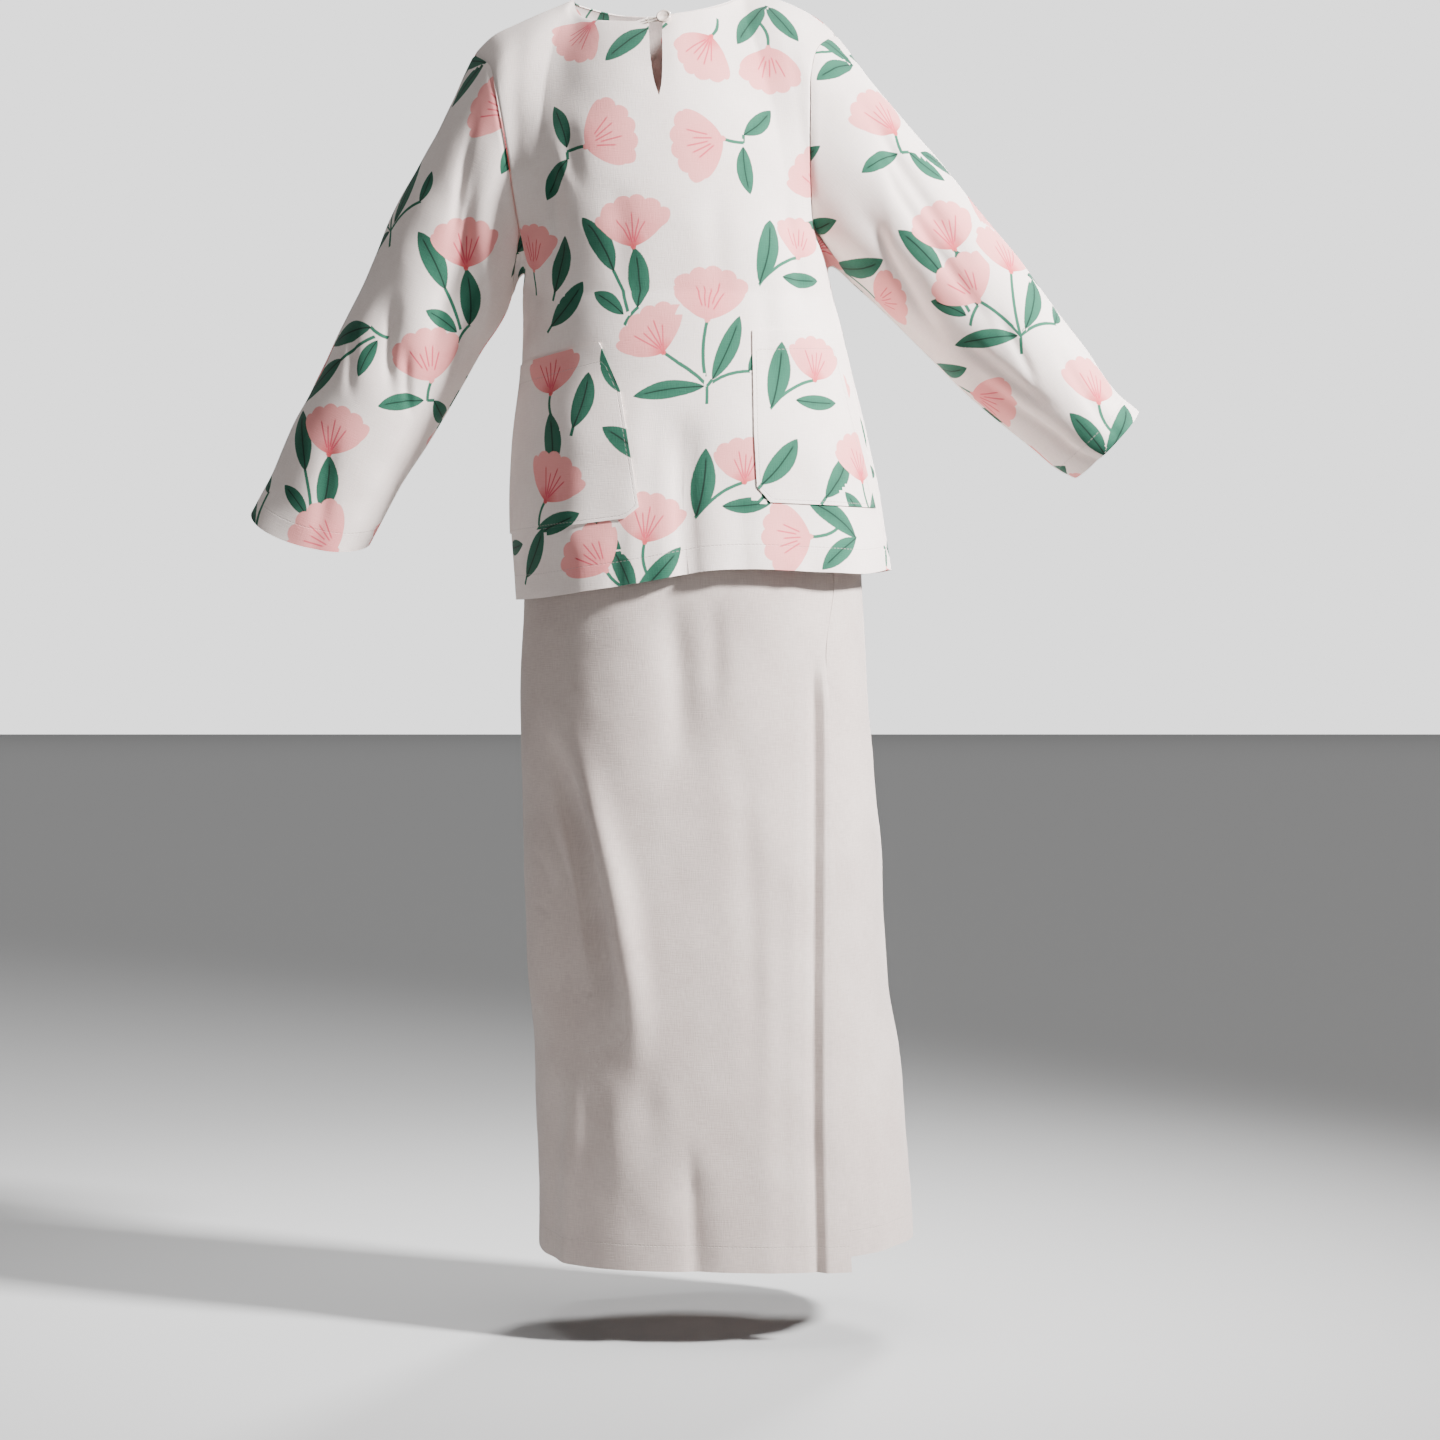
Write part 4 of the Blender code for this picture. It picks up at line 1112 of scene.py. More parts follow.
# Roughness and sheen of the printed cloth
PRINT_FINISH = (0.88, 0.12)


def mottled(slow, threads, shade, more=0.0):
    """The share of a darker colour, which changes slowly over the cloth and by its threads."""
    return (slow * shade.slow + threads * shade.threads + shade.level + more).clamped()


printed_cloth, shader, start = cloth_shader("printed_cloth", *PRINT_FINISH)
threads, slow = weave(start, PRINT_THREAD)
across, above, tone = start.kept("bloom")
rib, share, leaf_tone = start.kept("leaf")
stem, stem_share, _ = start.kept("stem")
radius = (across * across + above * above) ** 0.5
angle = across.maths("ARCTAN2", above)
lobes = abs((angle * LOBES + tone * LOBE_SHIFT).maths("SINE")) ** LOBE_POWER
fan = (1 - abs(angle).stepped(*FLANKS) * FLANK_CUT) * BLOOM_HEIGHT
reach = (lobes * LOBE_DEPTH + FAN_REACH) * fan
petals = (radius - reach + threads * FRAY["petal"]).under(*PETAL_EDGE)
line = (angle / LINE_SPACE).maths("ROUND")
off_line = abs(angle / LINE_SPACE - line) * radius * LINE_SPACE
uneven = (line * LINE_BEAT + tone * LINE_SHIFT).maths("SINE")
hearted = tone.under(*WITH_HEART)
line_start = uneven * LINE_START_SPREAD + hearted * LINE_START_HEART + LINE_START
lines = off_line.under(*LINE_EDGE) * (1 - radius.under(line_start, LINE_START_SOFT))
lines = lines * radius.under(uneven * LINE_STOP_SPREAD + LINE_STOP, LINE_STOP_SOFT)
lines = lines * abs(line).under(*LINES_EACH_SIDE) * petals
deep = mottled(slow, threads, PETAL_MOTTLE, (1 - radius / DEEP_RADIUS) * DEEP_STRENGTH)
pink = deep.mixed(PETAL, PETAL_DEEP)
heart = (1 - radius / HEART_RADIUS).clamped() * hearted * HEART_STRENGTH
pink = heart.mixed(pink, PETAL_HEART)
pink = (lines * LINE_STRENGTH).mixed(pink, PETAL_LINE)
outline = (share * (1 - share) * 4).clamped() ** BLADE_POWER * BLADE_WIDTH
blade = (abs(rib) - outline + threads * FRAY["leaf"]).under(*BLADE_EDGE)
blade = blade * abs(share - 0.5).under(*BLADE_ENDS)
ribbed = abs(rib).under(*RIB_SHADE) * RIB_STRENGTH + (leaf_tone - 0.5) * LEAF_TONE
green = mottled(slow, threads, LEAF_MOTTLE, ribbed).mixed(LEAF_GREEN, LEAF_DARK)
vein = abs(rib).under(*VEIN_EDGE) * share.under(*VEIN_END)
green = (vein * VEIN_STRENGTH).mixed(green, VEIN_DARK)
stalk = (abs(stem) + threads * FRAY["stem"]).under(*STEM_EDGE)
stalk = stalk * abs(stem_share - 0.5).under(*STEM_ENDS)
base = mottled(slow, threads, GROUND_MOTTLE).mixed(GROUND, GROUND_SHADE)
base = stalk.mixed(base, STEM_GREEN)
base = blade.mixed(base, green)
base = petals.mixed(base, pink)
sewn(start, shader, base, threads, PRINT_STITCH_SEEN, PRINT_STITCH)


def printed_piece(node, mesh, outside, seen, seed, stitch, thickness=SHELL):
    """A piece of the printed cloth, with its print, its stitching and its thickness."""
    piece = cloth_piece(node + "_cloth", mesh, outside)
    print_on(piece.data, seen, seed, stitch)
    piece.data.materials.append(printed_cloth)
    thickened(piece, thickness)
    return piece


for face, node in ((FRONT, "top_front"), (BACK, "top_back")):
    mesh, pattern = panel_mesh(face)
    seen = ()
    scatter = BACK_SCATTER
    if face == FRONT:
        front_mesh = mesh.copy()
        seen = FRONT_SPRIGS
        scatter = 0
    stitch = hem_stitch(pattern, TOP_HEM_STITCH)
    piece = printed_piece(node, mesh, Vector((0, face, 0)), seen, scatter, stitch)
    declared(piece, node, pattern)

# The underarm gussets
# A square of the same cloth at each armpit lets the straight sleeve be raised. Its seams show as
# small folds, and it hangs slack between the arm and the side.


def gusset_edge(side, face, share):
    """The straight edge from the gusset's corner on the armhole to its tip under the sleeve."""
    corner = armhole_edge(side, face, np.full(np.shape(share), GUSSET_CORNER))
    return corner + (np.array(GUSSET_TIPS[side], float) - corner) * share[:, None]


def gusset_grid(side):
    """The gusset's surface, between its foot, its corners front and back, and its tip."""

    def surface(across, up):
        near = armhole_edge(side, FRONT, GUSSET_CORNER * across)
        far = gusset_edge(side, BACK, across)
        first = armhole_edge(side, BACK, GUSSET_CORNER * up)
        last = gusset_edge(side, FRONT, up)
        zero = np.zeros(len(across))
        one = zero + 1
        foot = armhole_edge(side, FRONT, zero)
        front = gusset_edge(side, FRONT, zero)
        back = gusset_edge(side, BACK, zero)
        tip = gusset_edge(side, FRONT, one)
        a = across[:, None]
        b = up[:, None]
        patch = near * (1 - b) + far * b + first * (1 - a) + last * a
        patch -= (foot * (1 - b) + back * b) * (1 - a) + (front * (1 - b) + tip * b) * a
        patch[:, 2] -= GUSSET_SAG * np.sin(np.pi * across) * np.sin(np.pi * up)
        return patch

    return surface


GUSSET_FACES = 24
GUSSET_RUMPLE = {RIGHT: 10, LEFT: 12}
GUSSET_SCATTER = {RIGHT: 20, LEFT: 22}


def uncreased(across, up, place):
    """No creases of its own: the gusset's are its seams and its sag."""
    return np.zeros(len(across))


def unstitched(flat, place):
    """A place far from any stitching, for a piece that has none."""
    return np.full((len(flat), 3), FAR)


for side, node in ((RIGHT, "gusset_right"), (LEFT, "gusset_left")):
    surface = gusset_grid(side)
    pattern = flat_pattern(surface, -side)
    edges = ("first", "last", "foot", "top")
    fine = worn(surface, pattern, -side, GUSSET_RUMPLE[side], edges, uncreased)
    mesh = bmesh.new()
    lay(mesh, fine, GUSSET_FACES, GUSSET_FACES)
    outside = Vector((side, 0, -1))
    piece = printed_piece(node, mesh, outside, (), GUSSET_SCATTER[side], unstitched)
    declared(piece, node, pattern)

# The sleeves
# Long straight sleeves of the same cloth, set on straight armholes and sewn up along their
# undersides. They are bent a little at the elbow and their cuffs are turned up and stitched.

# Sleeve rings after the armhole: their points on top and underneath, as seen from the front,
# half their depth, and how far their front leans down the sleeve
Ring = namedtuple("Ring", "place top_x top_z under_x under_z middle_y depth lean")
SLEEVES = {
    RIGHT: (
        Ring(1, -168, -90, -122, -250, 2, 53, 0),
        Ring(2, -188, -127, -130, -264, 3, 51, 0),
        Ring(3, -213, -173, -142, -281, 4, 49, 2),
        Ring(4, -237, -229, -158, -309, 6, 46, 4),
        Ring(5, -256, -266, -174, -336, 8, 44, 6),
        Ring(6, -276, -307, -188, -359, 10, 41, 8),
        Ring(7, -295, -342, -206, -386, 12, 37, 11),
        Ring(8, -313, -382, -219, -410, 14, 32, 14),
        Ring(9, -328, -410, -232, -434, 16, 28, 16),
    ),
    LEFT: (
        Ring(1, 166, -65, 167, -240, 1, 53, 0),
        Ring(2, 194, -98, 182, -254, 0, 52, 0),
        Ring(3, 226, -135, 198, -270, -1, 50, 0),
        Ring(4, 260, -178, 220, -292, -3, 48, 1),
        Ring(5, 289, -212, 245, -317, -5, 46, 1),
        Ring(6, 316, -251, 272, -340, -7, 44, 2),
        Ring(7, 340, -282, 296, -359, -9, 42, 2),
        Ring(8, 362, -313, 315, -375, -10, 40, 3),
        Ring(9, 380, -330, 330, -383, -11, 38, 3),
    ),
}

START_STEPS = 20

# Folds along a sleeve: ring places from and to, angles round it from the top towards the front
SleeveFold = namedtuple("SleeveFold", "angle1 place1 angle2 place2 bow width depth kept")
SLEEVE_FOLDS = {
    RIGHT: (
        SleeveFold(62, 0, 116, 4.2, 8, 22, -5, 0),
        SleeveFold(112, 0.3, 150, 3.4, 4, 18, 4, 0),
        SleeveFold(60, 3.2, 112, 5.6, -6, 18, -3.5, 0),
        SleeveFold(262, 0, 230, 4.5, 5, 24, -5, 0),
    ),
    LEFT: (
        SleeveFold(48, 0.2, 84, 4.6, 6, 20, -4, 0),
        SleeveFold(104, 0, 138, 4.4, 4, 20, -4.5, 0),
        SleeveFold(150, 4.2, 128, 9, 5, 22, -6, 0.5),
        SleeveFold(268, 0, 226, 5.5, 6, 24, -5, 0),
    ),
}


def sleeve_start(side, around):
    """The sleeve's first ring: down the armhole's front, round the gusset and up its back."""
    columns = 2 * (ARMHOLE_ROWS + GUSSET_ROWS)
    half = np.minimum(around, 1 - around) * columns
    share = armhole_share(BODY_TOP - np.clip(half / ARMHOLE_ROWS, 0, 1))
    under = np.clip((half - ARMHOLE_ROWS) / GUSSET_ROWS, 0, 1)
    edges = []
    for face in (FRONT, BACK):
        armhole = armhole_edge(side, face, share)
        gusset = gusset_edge(side, face, under)
        edges.append(np.where(under[:, None] > 0, gusset, armhole))
    return np.where(around[:, None] <= 0.5, edges[0], edges[1])


def sleeve_ring(row, side, around):
    """One ring of the sleeve. It turns from the top (0) by the front to the underside (0.5)."""
    turn = 2 * np.pi * around
    half = np.array([row.top_x - row.under_x, 0, row.top_z - row.under_z]) / 2
    middle = np.array([(row.top_x + row.under_x) / 2, row.middle_y, (row.top_z + row.under_z) / 2])
    down_sleeve = np.array([side * -half[2], 0, side * half[0]]) / np.linalg.norm(half)
    down_sleeve *= -1 if down_sleeve[2] > 0 else 1
    front = np.array([0, -row.depth, 0]) + down_sleeve * row.lean
    return middle + np.cos(turn)[:, None] * half + np.sin(turn)[:, None] * front


def sleeve_middle(side, place):
    """Points on the line through the middles of a sleeve's rings."""
    rows = SLEEVES[side]
    middles = [sleeve_start(side, np.linspace(0, 1, START_STEPS + 1)[:-1]).mean(axis=0)]
    middles += [sleeve_ring(row, side, np.array([0, 0.5])).mean(axis=0) for row in rows]
    columns = [through(np.arange(len(middles)), np.array(column), place) for column in zip(*middles)]
    return np.stack(columns, axis=-1)


def sleeve_grid(side):
    """The sleeve's surface, round it and from its armhole to its cuff."""
    last = SLEEVES[side][-1].place

    def surface(around, length):
        around = np.where(around < 0, around + 1, around)
        around = np.where(around > 1, around - 1, around)
        rings = [sleeve_start(side, around)]
        rings += [sleeve_ring(row, side, around) for row in SLEEVES[side]]
        place = length * last
        sleeve = through(np.arange(last + 1.0), np.array(rings), place)
        middle = sleeve_middle(side, place)
        angle = 360 * around
        relief = fold_relief(SLEEVE_FOLDS[side], angle, place) * eased(place, 0, 1)
        return sleeve + unit(sleeve - middle) * relief[:, None]

    return surface


SLEEVE_FACES = (116, 132)
CUFF_STITCH = 16
SLEEVE_CREASES = {
    RIGHT: (
        SleeveFold(80, 0.6, 118, 4.4, 6, 7, -2.7, 0),
        SleeveFold(52, 0.3, 92, 2.6, 4, 6, -2.2, 0),
        SleeveFold(126, 1.2, 150, 4.6, 3, 6, -2.2, 0),
        SleeveFold(66, 3.6, 104, 5.2, -4, 6, -2.7, 0),
        SleeveFold(96, 4, 132, 5.4, -4, 5, -2.4, 0),
        SleeveFold(40, 4.6, 70, 5.8, 3, 6, -1.9, 0),
        SleeveFold(70, 6.2, 100, 9, 3, 8, -1.9, 0.6),
        SleeveFold(250, 1, 222, 5, 4, 8, -2.5, 0),
        SleeveFold(290, 3.4, 246, 5.6, -4, 7, -2.4, 0),
        SleeveFold(210, 4, 236, 6, 4, 6, -2, 0),
    ),
    LEFT: (
        SleeveFold(46, 0.4, 72, 4.2, 4, 7, -2.5, 0),
        SleeveFold(68, 0.8, 96, 5.4, 4, 6, -2.2, 0),
        SleeveFold(108, 0.4, 140, 4.2, 3, 7, -2.5, 0),
        SleeveFold(126, 3.8, 104, 7.2, 3, 7, -2.7, 0),
        SleeveFold(146, 4.6, 120, 9, 4, 8, -3.4, 0.6),
        SleeveFold(84, 4.6, 104, 6.4, -3, 5, -2, 0),
        SleeveFold(60, 6, 76, 9, 2, 8, -1.7, 0.6),
        SleeveFold(262, 0.6, 226, 5, 4, 8, -2.5, 0),
        SleeveFold(300, 3.6, 250, 6, -4, 7, -2.2, 0),
    ),
}
SLEEVE_SPRIGS = {
    RIGHT: (
        Sprig("side", -112, -100, 62),
        Sprig("hanging", -152, -218, -4),
        Sprig("side", -180, -306, 12),
        Sprig("hanging", -262, -364, -14),
        Sprig("side", -206, -430, -8),
        Sprig("side", -258, -440, 48),
    ),
    LEFT: (
        Sprig("side", 186, -112, 34),
        Sprig("hanging", 232, -204, 18),
        Sprig("pair", 284, -272, 2),
        Sprig("fork", 346, -324, 4),
    ),
}

SLEEVE_RUMPLE = {RIGHT: 30, LEFT: 32}
SLEEVE_SCATTER = {RIGHT: 40, LEFT: 42}

for side, node in ((RIGHT, "sleeve_right"), (LEFT, "sleeve_left")):
    around_sleeve = sleeve_grid(side)

    def surface(across, up, around_sleeve=around_sleeve):
        return around_sleeve((across + 0.5) % 1, up)

    pattern = flat_pattern(surface, side)

    def creases(across, up, place, side=side):
        angle = 360 * ((across + 0.5) % 1)
        return fold_relief(SLEEVE_CREASES[side], angle, up * SLEEVES[side][-1].place)

    edges = ("first", "last", "foot")
    mesh = bmesh.new()
    lay(mesh, worn(surface, pattern, side, SLEEVE_RUMPLE[side], edges, creases), *SLEEVE_FACES)
    cuff = hem_stitch(pattern, CUFF_STITCH, -1)
    outside = Vector((0, -1, 0))
    piece = printed_piece(node, mesh, outside, SLEEVE_SPRIGS[side], SLEEVE_SCATTER[side], cuff)
    declared(piece, node, pattern)

# The patch pockets
# Two flat patches sewn on low at the front's sides, open along their tops. The print doesn't
# meet across their edges.

# Pocket corners as seen from the front, from the top inner corner round to the top outer one
Corner = namedtuple("Corner", "x z")
POCKETS = {
    "pocket_right": (
        Corner(-45.8, -279.5),
        Corner(-29.5, -316.5),
        Corner(-14.7, -407),
        Corner(-26, -416),
        Corner(-125, -428),
        Corner(-125, -297),
    ),
    "pocket_left": (
        Corner(73, -270.5),
        Corner(74.4, -350),
        Corner(76.6, -391.5),
        Corner(87, -403.5),
        Corner(171, -407),
        Corner(136, -268),
    ),
}
POCKET_BACK_LIMIT = -8
POCKET_STITCH = 2.4
POCKET_HEM = 15
POCKET_SHELL = 0.9
POCKET_SPRIGS = {
    "pocket_right": (
        Sprig("bloom", -84, -318, 4),
        Sprig("leaf", -66, -346, -12),
        Sprig("leaf", -82, -378, 8),
        Sprig("bloom", -88, -402, -26),
        Sprig("leaf", -40, -276, 196),
        Sprig("leaf", -8, -372, 52),
        Sprig("leaf", -96, -426, -74),
    ),
    "pocket_left": (
        Sprig("single", 122, -308, -3),
        Sprig("fork", 160, -386, 6),
        Sprig("leaf", 80, -390, -38),
        Sprig("leaf", 130, -400, -34),
    ),
}

for node, corners in POCKETS.items():
    patch = front_mesh.copy()
    middle = Vector((sum(c.x for c in corners), 0, sum(c.z for c in corners))) / len(corners)
    cuts = [(Vector((0, POCKET_BACK_LIMIT, 0)), Vector((0, 1, 0)))]
    edges = []
    for corner, following in zip(corners, corners[1:] + corners[:1]):
        start_corner = Vector((corner.x, 0, corner.z))
        run = Vector((following.x, 0, following.z)) - start_corner
        away = Vector((run.z, 0, -run.x)).normalized()
        away = away if away.dot(start_corner - middle) > 0 else -away
        cuts.append((start_corner, away))
        edges.append((start_corner, away))
    bmesh.ops.remove_doubles(patch, verts=patch.verts, dist=WELD)
    patch.normal_update()
    for vert in patch.verts:
        vert.co += vert.normal * (SEAM_GAP + POCKET_SHELL)
    for place, away in cuts:
        geometry = patch.verts[:] + patch.edges[:] + patch.faces[:]
        bmesh.ops.bisect_plane(
            patch, geom=geometry, dist=WELD, plane_co=place, plane_no=away, clear_outer=True
        )

    def stitch(flat, place, edges=edges):
        best = np.full(len(flat), FAR)
        for number, (corner, away) in enumerate(edges):
            inset = POCKET_HEM if number == len(edges) - 1 else POCKET_STITCH
            best = np.minimum(best, (np.array(corner) - place) @ np.array(away) - inset)
        return np.column_stack((best, flat.sum(axis=1), best))

    outside = Vector((0, -1, 0))
    piece = printed_piece(node, patch, outside, POCKET_SPRIGS[node], 0, stitch, POCKET_SHELL)
    stands_for(piece, node)
    size = [float(side) for side in np.ptp(corner_places(piece.data)[0], axis=0) * MM]

# The button and its loop
# A pearly button on a shank is sewn beside the slit, and a loop of thread from the other side
# goes round the shank and keeps the slit closed.
BUTTON_X = 4.9
BUTTON_Z = -26.6
BUTTON_STEPS = 64
Turned = namedtuple("Turned", "radius height")
BUTTON_PROFILE = (
    Turned(0, 0),
    Turned(1.4, 0),
    Turned(1.5, 1.9),
    Turned(3.6, 2.1),
    Turned(5.2, 2.5),
    Turned(5.9, 3.1),
    Turned(6, 3.6),
    Turned(5.8, 4.2),
    Turned(5.3, 4.6),
    Turned(4.7, 4.65),
    Turned(4.1, 4.3),
    Turned(3.4, 4.0),
    Turned(2, 3.95),
    Turned(1.1, 3.7),
    Turned(0, 3.5),
)
PEARL = colour(238, 224, 214)
PEARL_SHADE = colour(214, 186, 172)
THREAD = colour(214, 204, 190)
THREAD_SHADE = colour(178, 166, 150)
PEARL_FINISH = (0.22, 0)
THREAD_FINISH = (0.8, 0.1)
PEARL_BUMP = (0.15, 0.0005)
THREAD_BUMP = (0.4, 0.0002)
PEARL_GLOSS = 0.6
PEARL_COAT = 0.6
SWIRL = {"Scale": 220.0, "Detail": 3.0, "Distortion": 1.5}
SWIRL_STRENGTH = 3
SWIRL_LEVEL = 0.4
TWIST = {"Scale": 900.0, "Distortion": 2.0}
LOOP_THREAD = 0.5
LOOP_ROUNDNESS = 3
LOOP_END_X = -10
LOOP_END_Z = -29
LOOP_END_APART = 1.2
LOOP_ARM_APART = 1.6
LOOP_RADIUS = 2.4
LOOP_LIFT = 1.4
LOOP_BEND = range(120, -121, -40)
LOOP_POINTS = 60

front_mesh.normal_update()
front_surface = BVHTree.FromBMesh(front_mesh)


def over_front(x, z, lift):
    """A point lifted off the front, in millimetres, and the way out of the cloth there."""
    ahead = Vector((x, -2 * NECK_DEPTH[FRONT], z))
    place, normal, _, _ = front_surface.ray_cast(ahead, Vector((0, 1, 0)))
    normal = normal if normal.y < 0 else -normal
    return place + normal * lift, normal


pearl, shader, start = cloth_shader("pearl", *PEARL_FINISH)
shader.inputs["Coat Weight"].default_value = PEARL_COAT
shader.inputs["Specular IOR Level"].default_value = PEARL_GLOSS
spot = start.node("ShaderNodeTexCoord", {}, {}, output=3)
swirl = start.node("ShaderNodeTexNoise", {}, {"Vector": spot, **SWIRL})
base = ((swirl - 0.5) * SWIRL_STRENGTH + SWIRL_LEVEL).clamped().mixed(PEARL, PEARL_SHADE)
finished(start, shader, base, swirl, *PEARL_BUMP)

place, normal = over_front(BUTTON_X, BUTTON_Z, SEAM_GAP)
mesh = bmesh.new()
verts = [mesh.verts.new((row.radius, 0, row.height)) for row in BUTTON_PROFILE]
outline = [mesh.edges.new(pair) for pair in zip(verts, verts[1:])]
bmesh.ops.spin(
    mesh, geom=verts + outline, cent=(0, 0, 0), axis=(0, 0, 1), angle=2 * math.pi,
    steps=BUTTON_STEPS, use_merge=True,
)
bmesh.ops.remove_doubles(mesh, verts=mesh.verts, dist=WELD)
stand = Matrix.Translation(place) @ normal.to_track_quat("Z", "Y").to_matrix().to_4x4()
bmesh.ops.transform(mesh, matrix=stand, verts=mesh.verts)
button = cloth_piece("pearl_button", mesh, Vector((0, -1, 0)))
button.data.materials.append(pearl)
stands_for(button, "button")

thread, shader, start = cloth_shader("thread", *THREAD_FINISH)
spot = start.node("ShaderNodeTexCoord", {}, {}, output=3)
along_thread = {"bands_direction": "DIAGONAL"}
twist = start.node("ShaderNodeTexWave", along_thread, {"Vector": spot, **TWIST})
base = twist.mixed(THREAD, THREAD_SHADE)
finished(start, shader, base, twist, *THREAD_BUMP)

middle, normal = over_front(BUTTON_X, BUTTON_Z, LOOP_LIFT)
end, _ = over_front(LOOP_END_X, LOOP_END_Z, LOOP_LIFT)
away = end - middle
away = (away - normal * away.dot(normal)).normalized()
aside = normal.cross(away)
halfway = end.lerp(middle, 0.5)
route = [end - aside * LOOP_END_APART, halfway - aside * LOOP_ARM_APART]
for degrees in LOOP_BEND:
    turn = math.radians(degrees)
    route.append(middle - (away * math.cos(turn) + aside * math.sin(turn)) * LOOP_RADIUS)
route += [halfway + aside * LOOP_ARM_APART, end + aside * LOOP_END_APART]
columns = zip(*route)
at = np.linspace(0, len(route) - 1, LOOP_POINTS)
smooth = [through(np.arange(len(route)), np.array(column), at) for column in columns]
curve = bpy.data.curves.new("thread_loop", "CURVE")
curve.dimensions = "3D"
curve.bevel_depth = LOOP_THREAD * MM
curve.bevel_resolution = LOOP_ROUNDNESS
curve.use_fill_caps = True
spline = curve.splines.new("POLY")
spline.points.add(LOOP_POINTS - 1)
for point, spot in zip(spline.points, zip(*smooth)):
    point.co = (*[value * MM for value in spot], 1)
loop = added("thread_loop", curve)
curve.materials.append(thread)
stands_for(loop, "button_loop")

# The skirt
# A long straight skirt of plain cloth in two panels. The front ends at the wearer's left in a
# folded strip that laps over the back, as a pleat that is sewn shut above and open below.
SKIRT_SECTIONS = (
    Section(-1010, -97.6, 204, 125, 129),
    Section(-960, -97.6, 202, 124, 127),
    Section(-900, -99, 197.5, 122, 124),
    Section(-835, -101, 192, 119, 121),
    Section(-790, -105.6, 185.6, 117, 119),
    Section(-730, -109, 181, 114, 116),
    Section(-680, -111, 177.6, 112, 113),
    Section(-610, -112, 170, 109, 110),
    Section(-545, -111.5, 165.5, 107, 107),
    Section(-480, -108.2, 161.7, 105.7, 105.7),
    Section(-417, -108.7, 157.7, 101.7, 101.7),
    Section(-360, -106.2, 151.7, 96.7, 96.7),
    Section(-310, -100, 138, 90, 89),
    Section(-264, -92, 116, 84, 82),
)
SKIRT_ROUNDNESS = 2.5
SKIRT_TURN = 6
SIDE_SEAM = -90.0
SKIRT_WAIST = -264
SKIRT_LEVEL = -520

# Height of the skirt's hem across the front (side seam to pleat) and back (pleat to side seam)
SkirtHem = namedtuple("SkirtHem", "across front back")
SKIRT_HEM = (
    SkirtHem(0, -990, -990.5),
    SkirtHem(0.15, -997, -988),
    SkirtHem(0.35, -999, -988),
    SkirtHem(0.6, -999, -989),
    SkirtHem(1, -1001.5, -989),
)

# The pleat: where the front's edge runs, and the width of the folded strip beside it
Pleat = namedtuple("Pleat", "height edge_x strip")
PLEAT = (
    Pleat(-1002, 149.5, 20),
    Pleat(-882, 142.5, 15.5),
    Pleat(-570, 132.8, 5.5),
    Pleat(-520, 130.5, 4),
    Pleat(-462, 137, 4),
    Pleat(-264, 98, 4),
)
PLEAT_FULL = -560
UNDERLAP_TOP = -565
UNDERLAP_FULL = -640
UNDERLAP_SHORT = 4

# Profile across the pleat: place in its columns, distance past the strip, share of it, height
PleatFold = namedtuple("PleatFold", "place beyond strip_share rise")
PLEAT_PROFILE = (
    PleatFold(0, 22, 1, 0),
    PleatFold(0.2, 13, 1, -1.2),
    PleatFold(0.4, 6, 1, -4),
    PleatFold(0.6, 0, 1, 2.4),
    PleatFold(0.8, 0, 0.5, 2.7),
    PleatFold(1, 0, 0, 2.4),
)
PLEAT_START = 0.8
DEGREES = 2

# Soft folds of the skirt's two panels, fading out towards their edges
SKIRT_FRONT_FOLDS = (
    Fold(-98, -560, -42, -822, 10, 11, -7, 0),
    Fold(-80, -600, -26, -815, 11, 13, 3.5, 0),
    Fold(10, -455, 22, -640, 3, 22, -4, 0.1),
    Fold(-48, -850, -46, -960, 0, 10, -2.5, 0),
    Fold(22, -900, 34, -1020, 0, 14, -4, 1),
    Fold(-84, -840, -88, -1010, 0, 10, -3, 0.6),
    Fold(84, -700, 96, -1010, 3, 18, 3, 1),
)
SKIRT_BACK_FOLDS = (
    Fold(-52, -520, -30, -1010, 8, 17, -6, 1),
    Fold(28, -430, 46, -1010, 4, 24, 5, 1),
    Fold(92, -560, 118, -1010, 5, 18, -7, 1),
    Fold(-84, -640, -74, -1010, 0, 13, 4, 1),
    Fold(176, -640, 190, -1010, 0, 10, -3, 1),
)
FRONT_FADE = 0.1
BACK_FADE = 0.14
SKIRT_LOW_ROWS = 15
SKIRT_HIGH_ROWS = 7


def pleat_angle(height):
    """The angle of the front's edge at the pleat, and how many millimetres a degree measures."""
    right = along(SKIRT_SECTIONS, "right", height)
    left = along(SKIRT_SECTIONS, "left", height)
    share = (along(PLEAT, "edge_x", height) - (left + right) / 2) / ((left - right) / 2)
    angle = np.degrees(np.arcsin(share ** (SKIRT_ROUNDNESS / 2)))
    edge = ring(SKIRT_SECTIONS, SKIRT_ROUNDNESS, height, angle)
    before = ring(SKIRT_SECTIONS, SKIRT_ROUNDNESS, height, angle - DEGREES)
    return angle, np.linalg.norm(edge - before, axis=-1) / DEGREES


def skirt_surface(height, angle, relief):
    """Points on the skirt, moved out by the relief."""
    base = ring(SKIRT_SECTIONS, SKIRT_ROUNDNESS, height, angle)
    before = ring(SKIRT_SECTIONS, SKIRT_ROUNDNESS, height, angle - DEGREES / 4)
    after = ring(SKIRT_SECTIONS, SKIRT_ROUNDNESS, height, angle + DEGREES / 4)
    normal = unit(np.cross(after - before, np.array([0, 0, 1.0])))
    return base + normal * relief(base)[:, None]


